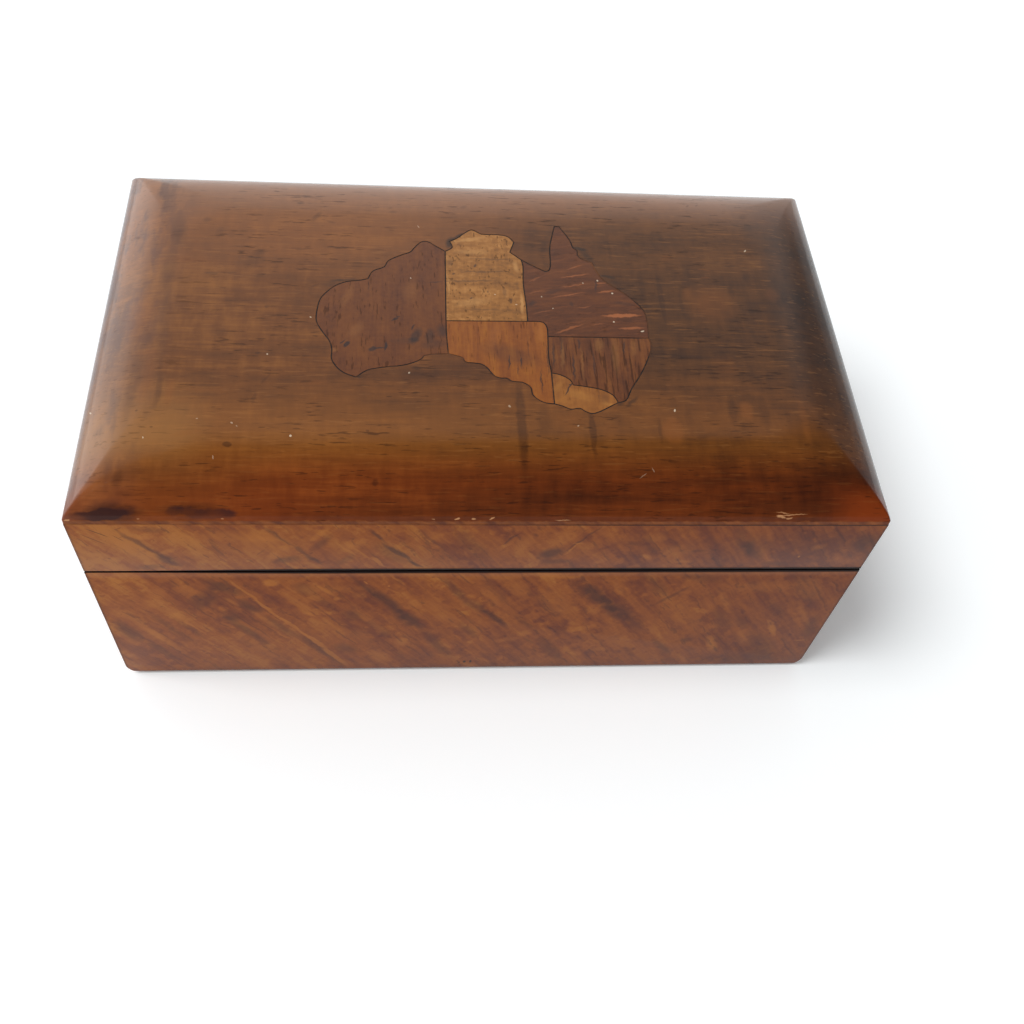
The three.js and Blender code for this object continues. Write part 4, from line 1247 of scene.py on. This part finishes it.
@dataclass
class LidBoard:
    """The lid's solid top board: a thin lip, four mitred slopes and a flat table with the map's recess."""

    node: str = "lid_top_board"
    lip_edge: float = 2.0 * MM
    crown_run: float = 32.5 * MM
    crown_start: float = 10.0
    crown_steps: int = 44
    table_margin: float = 1.0 * MM
    mitre_tight: float = 0.6 * MM
    mitre_broad: float = 15.0 * MM
    mitre_steps: int = 22
    mitre_bend: float = 4.0
    mitre_facets: int = 6
    lip_wear: float = 0.15 * MM
    lip_reach: float = 2.0 * MM
    lip_turn: float = 0.2
    least_table: float = 5000.0 * MM * MM
    recess_depth: float = 1.6 * MM
    floor_slack: float = 0.05 * MM
    cutter_height: float = 2.0 * MM
    crease: float = 24.0
    finish: LidTimber = field(default_factory=LidTimber)

    def build(self) -> bpy.types.Object:
        """Model the board, cut the recess and dress it.

        Returns:
            The board.
        """
        low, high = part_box(self.node)
        board = self._lip(low, high)
        self._raise_crown(board, high.z - low.z - self.lip_edge)
        self._round_mitres(board, low, high)
        self._finish_edges(board, low, high)
        cutter = self.recess_block(self.cutter_height)
        cut(board, cutter)
        bpy.data.objects.remove(cutter)
        shaded(board, self.crease)
        weighted(board)
        dressed(board, self.finish.material())
        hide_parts(self.node)
        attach(board, "lid")
        return board

    def _lip(self, low: Vector, high: Vector) -> bpy.types.Object:
        """Start from a flat board as thick as the lip's edge."""
        size = high - low
        middle = (low + high) / 2
        bpy.ops.object.select_all(action="DESELECT")
        bpy.ops.mesh.primitive_cube_add(
            size=1,
            location=(middle.x, middle.y, low.z + self.lip_edge / 2),
            scale=(size.x, size.y, self.lip_edge),
        )
        board = bpy.context.object
        board.name = "lid_board"
        bpy.ops.object.transform_apply(location=True, rotation=True, scale=True)
        return board

    def _crown_profile(self, rise: float) -> list[tuple[float, float]]:
        """Give the steps in and up that follow the crown's quarter oval.

        Args:
            rise: Height of the table over the lip.

        Returns:
            Steps of inset and rise from the lip to the table.
        """
        start = math.radians(self.crown_start)
        reach = self.crown_run / math.cos(start)
        height = rise / (1 - math.sin(start))
        points = []
        for step in range(self.crown_steps + 1):
            angle = start + (math.pi / 2 - start) * step / self.crown_steps
            inset = self.crown_run - reach * math.cos(angle)
            points.append((inset, height * (math.sin(angle) - math.sin(start))))
        return [(b[0] - a[0], b[1] - a[1]) for a, b in zip(points, points[1:])]

    def _raise_crown(self, board: bpy.types.Object, rise: float) -> None:
        """Inset and lift the top face along the crown."""
        with Bench(board) as bench:
            bench.pick_faces(lambda face: face.normal.z > UPWARD)
            for inset, lift in self._crown_profile(rise):
                bpy.ops.mesh.inset(thickness=inset, depth=0, use_even_offset=True)
                bpy.ops.transform.translate(value=(0, 0, lift))

    def _round_mitres(self, board: bpy.types.Object, low: Vector, high: Vector) -> None:
        """Round the four mitres, tightly at the lip and broadly where they run out on the table."""
        lip = low.z + self.lip_edge
        rise = high.z - lip

        def step_of(edge: bmesh.types.BMEdge) -> int:
            ends = [v.co for v in edge.verts]
            near = [abs((high.x - abs(p.x)) - (high.y - abs(p.y))) < TOUCH for p in ends]
            if not all(near) or abs(ends[0].z - ends[1].z) < 1e-7:
                return -1
            height = max((ends[0].z + ends[1].z) / 2 - lip, 0.0) / rise
            return min(int(height * self.mitre_steps), self.mitre_steps - 1)

        with Bench(board, "EDGE") as bench:
            for step in range(self.mitre_steps):
                bench.pick_edges(lambda edge: step_of(edge) == step)
                share = (step / (self.mitre_steps - 1)) ** self.mitre_bend
                width = self.mitre_tight + (self.mitre_broad - self.mitre_tight) * share
                bpy.ops.transform.edge_bevelweight(value=width / self.mitre_broad)
        worked(
            board,
            "BEVEL",
            limit_method="WEIGHT",
            width=self.mitre_broad,
            segments=self.mitre_facets,
            use_clamp_overlap=False,
        )

    def _finish_edges(self, board: bpy.types.Object, low: Vector, high: Vector) -> None:
        """Mark off the table's edge, and take the sharpness off the lip."""

        def on_lip(edge: bmesh.types.BMEdge) -> bool:
            ends = [v.co for v in edge.verts]
            level = abs(ends[0].z - ends[1].z) < TOUCH
            at_lip = min(abs(ends[0].z - z) for z in (low.z, low.z + self.lip_edge)) < TOUCH
            inner = high - Vector((self.lip_reach, self.lip_reach, 0))
            outer = all(abs(p.x) > inner.x or abs(p.y) > inner.y for p in ends)
            return level and at_lip and outer and edge.calc_face_angle(0) > self.lip_turn

        with Bench(board) as bench:
            bench.pick_faces(
                lambda face: face.normal.z > UPWARD and face.calc_area() > self.least_table
            )
            bpy.ops.mesh.inset(thickness=self.table_margin, depth=0, use_even_offset=True)
        with Bench(board, "EDGE") as bench:
            bench.pick_edges(on_lip)
            bpy.ops.mesh.bevel(offset=self.lip_wear, segments=2, affect="EDGES", clamp_overlap=True)

    def recess_block(self, height: float) -> bpy.types.Object:
        """Raise a block from the recess's floor, as the CAD board has it.

        Args:
            height: How tall the block is.

        Returns:
            A closed block with the map's outline.
        """
        block = merged_copy(self.node, "recess_block")
        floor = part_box(self.node)[1].z - self.recess_depth

        def is_floor(face: bmesh.types.BMFace) -> bool:
            level = abs(face.calc_center_median().z - floor) < self.floor_slack
            return face.normal.z > UPWARD and level

        with Bench(block) as bench:
            bench.pick_faces(lambda face: not is_floor(face))
            bpy.ops.mesh.delete(type="FACE")
            bpy.ops.mesh.select_all(action="SELECT")
            bpy.ops.mesh.extrude_region_move(TRANSFORM_OT_translate={"value": (0, 0, height)})
            bpy.ops.mesh.select_all(action="SELECT")
            bpy.ops.mesh.normals_make_consistent(inside=False)
        return block


@dataclass
class MapInlay:
    """The six inlays of the map and the mastic between them."""

    board: LidBoard
    mastic_drop: float = 0.06 * MM
    nodes: tuple[str, ...] = tuple(INLAYS)

    def build(self) -> None:
        """Dress the inlays and lay the mastic."""
        for node in self.nodes:
            dressed(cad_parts[node], INLAYS[node].material())
        net = self.board.recess_block(self.board.recess_depth - self.mastic_drop)
        net.name = "map_mastic"
        for node in self.nodes:
            wood = merged_copy(node, "wood")
            cut(net, wood)
            bpy.data.objects.remove(wood)
        dressed(net, Mastic().material())
        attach(net, "lid")
        log.info("map: %d inlays, mastic with %d faces", len(self.nodes), len(net.data.polygons))


@dataclass
class WornBoards:
    """Boards of the carcase and sheets of veneer, each with its edges softened by use."""

    wear: float = 0.22 * MM
    segments: int = 2
    sharp: float = 40.0
    crease: float = 35.0

    def copy(self, node: str, body: str, slot: str, material: bpy.types.Material) -> bpy.types.Object:
        """Make the worn stand-in of one board.

        Args:
            node: The board's CAD node.
            body: The CAD body that it rides on.
            slot: The record's material slot; not used.
            material: Its finish.

        Returns:
            The worn board.
        """
        piece = merged_copy(node, node + "_worn")
        worked(
            piece,
            "BEVEL",
            width=self.wear,
            segments=self.segments,
            limit_method="ANGLE",
            angle_limit=math.radians(self.sharp),
        )
        shaded(piece, self.crease)
        dressed(piece, material)
        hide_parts(node)
        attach(piece, body)
        return piece


@dataclass
class Carcase:
    """The walls, the bottom board and the veneer round them, of the body and of the lid."""

    boards: WornBoards = field(default_factory=WornBoards)

    def build(self) -> None:
        """Dress the walls and the bottom, and make the worn veneers."""
        along_x = CarcaseTimber("carcase_lengthways", Grain.ALONG_X).material()
        along_y = CarcaseTimber("carcase_crossways", Grain.ALONG_Y).material()
        veneers = {
            Face.FRONT: FiguredVeneer(Face.FRONT, FRONT_DARK, FRONT_LIGHT, FRONT_SCARS).material(),
            Face.BACK: FiguredVeneer(Face.BACK, BACK_DARK, BACK_LIGHT).material(),
            Face.LEFT: FiguredVeneer(Face.LEFT, SIDE_DARK, SIDE_LIGHT).material(),
            Face.RIGHT: FiguredVeneer(Face.RIGHT, SIDE_DARK, SIDE_LIGHT).material(),
        }
        for body in ("body", "lid"):
            for face, finish in veneers.items():
                wall = f"{body}_{face.value}_wall"
                timber = along_x if face in (Face.FRONT, Face.BACK) else along_y
                dressed(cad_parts[wall], timber)
                sheet = self.boards.copy(
                    f"{body}_{face.value}_veneer", body, "figured_veneer", finish
                )
                log.info("%s: %d faces", sheet.name, len(sheet.data.polygons))
        dressed(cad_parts["body_bottom_board"], along_x)


@dataclass
class Hinges:
    """The two brass butt hinges with their pins and screws."""

    brass: AgedMetal = AgedMetal("hinge_brass", "c7a05c", "8f6f38", "4a3a22", 0.28)
    steel: AgedMetal = AgedMetal("pin_steel", "a39d96", "77706a", "3d342e", 0.35)

    def build(self) -> None:
        """Dress the leaves, screws and pins."""
        brass = self.brass.material()
        steel = self.steel.material()
        for name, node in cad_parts.items():
            if name.startswith("hinge_"):
                dressed(node, steel if name.endswith("_pin") else brass)
        log.info("hinges dressed")


@dataclass
class Studio:
    """White paper, a pale room, a broad lamp up on the left and the camera of the photograph."""

    focal_length: float = 39.02
    sensor: float = 36.0
    eye: Vector = field(default_factory=lambda: Vector((-33.1, -312.5, 450.0)) * MM)
    right: Vector = field(default_factory=lambda: Vector((0.9949, -0.0553, 0.0842)))
    down: Vector = field(default_factory=lambda: Vector((0.0019, -0.8255, -0.5644)))
    ahead: Vector = field(default_factory=lambda: Vector((0.1008, 0.5617, -0.8212)))
    floor_size: float = 8.0
    floor_drop: float = 0.2 * MM
    lamp_from: Vector = field(default_factory=lambda: Vector((-0.47, -0.09, 0.86)))
    lamp_strength: float = 1.55
    lamp_spread: float = 26.0
    ambient: float = 0.55
    ambient_left: float = 0.42
    ambient_front: float = 0.12

    def build(self) -> None:
        """Lay the paper, hang the lamp, light the room and set the camera."""
        self._lay_paper()
        self._hang_lamp()
        self._light_room()
        self._set_camera()

    def _lay_paper(self) -> None:
        """Lay the white floor just under the box."""
        bpy.ops.object.select_all(action="DESELECT")
        bpy.ops.mesh.primitive_plane_add(size=self.floor_size, location=(0, 0, -self.floor_drop))
        paper = bpy.context.object
        paper.name = "floor_paper"
        bpy.ops.object.transform_apply(location=True, rotation=True, scale=True)
        dressed(paper, FloorPaper().material())

    def _hang_lamp(self) -> None:
        """Hang the broad lamp that throws the soft shadow to the right."""
        lamp = bpy.data.lights.new("broad_lamp", "SUN")
        lamp.energy = self.lamp_strength
        lamp.angle = math.radians(self.lamp_spread)
        holder = bpy.data.objects.new("broad_lamp", lamp)
        bpy.context.scene.collection.objects.link(holder)
        holder.visible_glossy = False
        holder.rotation_euler = (-self.lamp_from).to_track_quat("-Z", "Y").to_euler()

    def _light_room(self) -> None:
        """Give the room its plain pale light, and the white sweep that polish shows."""
        world = bpy.data.worlds.new("room")
        bpy.context.scene.world = world
        sheet = Sheet(world)
        x, y, z = sheet.split(sheet.node("ShaderNodeTexCoord", output="Generated"))
        horizon = z.falling(0.18, 0.30) * (0.95 - 0.5 * x.rising(0.3, 0.8))
        sweep = (1.80 * y - 0.58 * x - z).rising(-0.10, 0.10)
        sweep = sweep * (0.18 + 0.92 * z.falling(0.5, 0.95)) * (0.38 + 0.62 * (y - x).rising(0.02, 0.22))
        sweep = sweep * (1 - 0.28 * x.rising(0.0, 0.25))
        window = (-1 * x).rising(0.35, 0.6) * z.falling(0.42, 0.62) * y.rising(-0.1, 0.2)
        seen = sheet.maths("MAXIMUM", sheet.maths("MAXIMUM", horizon, sweep), 0.03)
        seen = seen + window * 1.0
        given = self.ambient - self.ambient_left * x - self.ambient_front * y
        camera, looked_at = sheet.looks()
        strength = looked_at * seen + (1 - looked_at) * given
        strength = camera + (1 - camera) * strength
        backing = sheet.node(
            "ShaderNodeBackground", None, {"Color": srgb("ffffff"), "Strength": strength}
        )
        sheet.node("ShaderNodeOutputWorld", None, {"Surface": backing})

    def _set_camera(self) -> None:
        """Set the camera where the photograph was taken from."""
        lens = bpy.data.cameras.new("photo_camera")
        lens.lens = self.focal_length
        lens.sensor_width = self.sensor
        lens.clip_start = 0.01
        camera = bpy.data.objects.new("photo_camera", lens)
        bpy.context.scene.collection.objects.link(camera)
        turn = Matrix((self.right, -self.down, -self.ahead)).transposed()
        camera.matrix_world = Matrix.Translation(self.eye) @ turn.to_4x4()
        bpy.context.scene.camera = camera


def main() -> None:
    """Build the box's looks in order, and report each part."""
    logging.basicConfig(level=logging.INFO, format="%(message)s")
    bpy.context.scene.view_settings.view_transform = "Standard"
    board = LidBoard()
    top = board.build()
    log.info("lid board: %d faces", len(top.data.polygons))
    MapInlay(board).build()
    Carcase().build()
    Hinges().build()
    Studio().build()


if __name__ == "__main__":
    main()
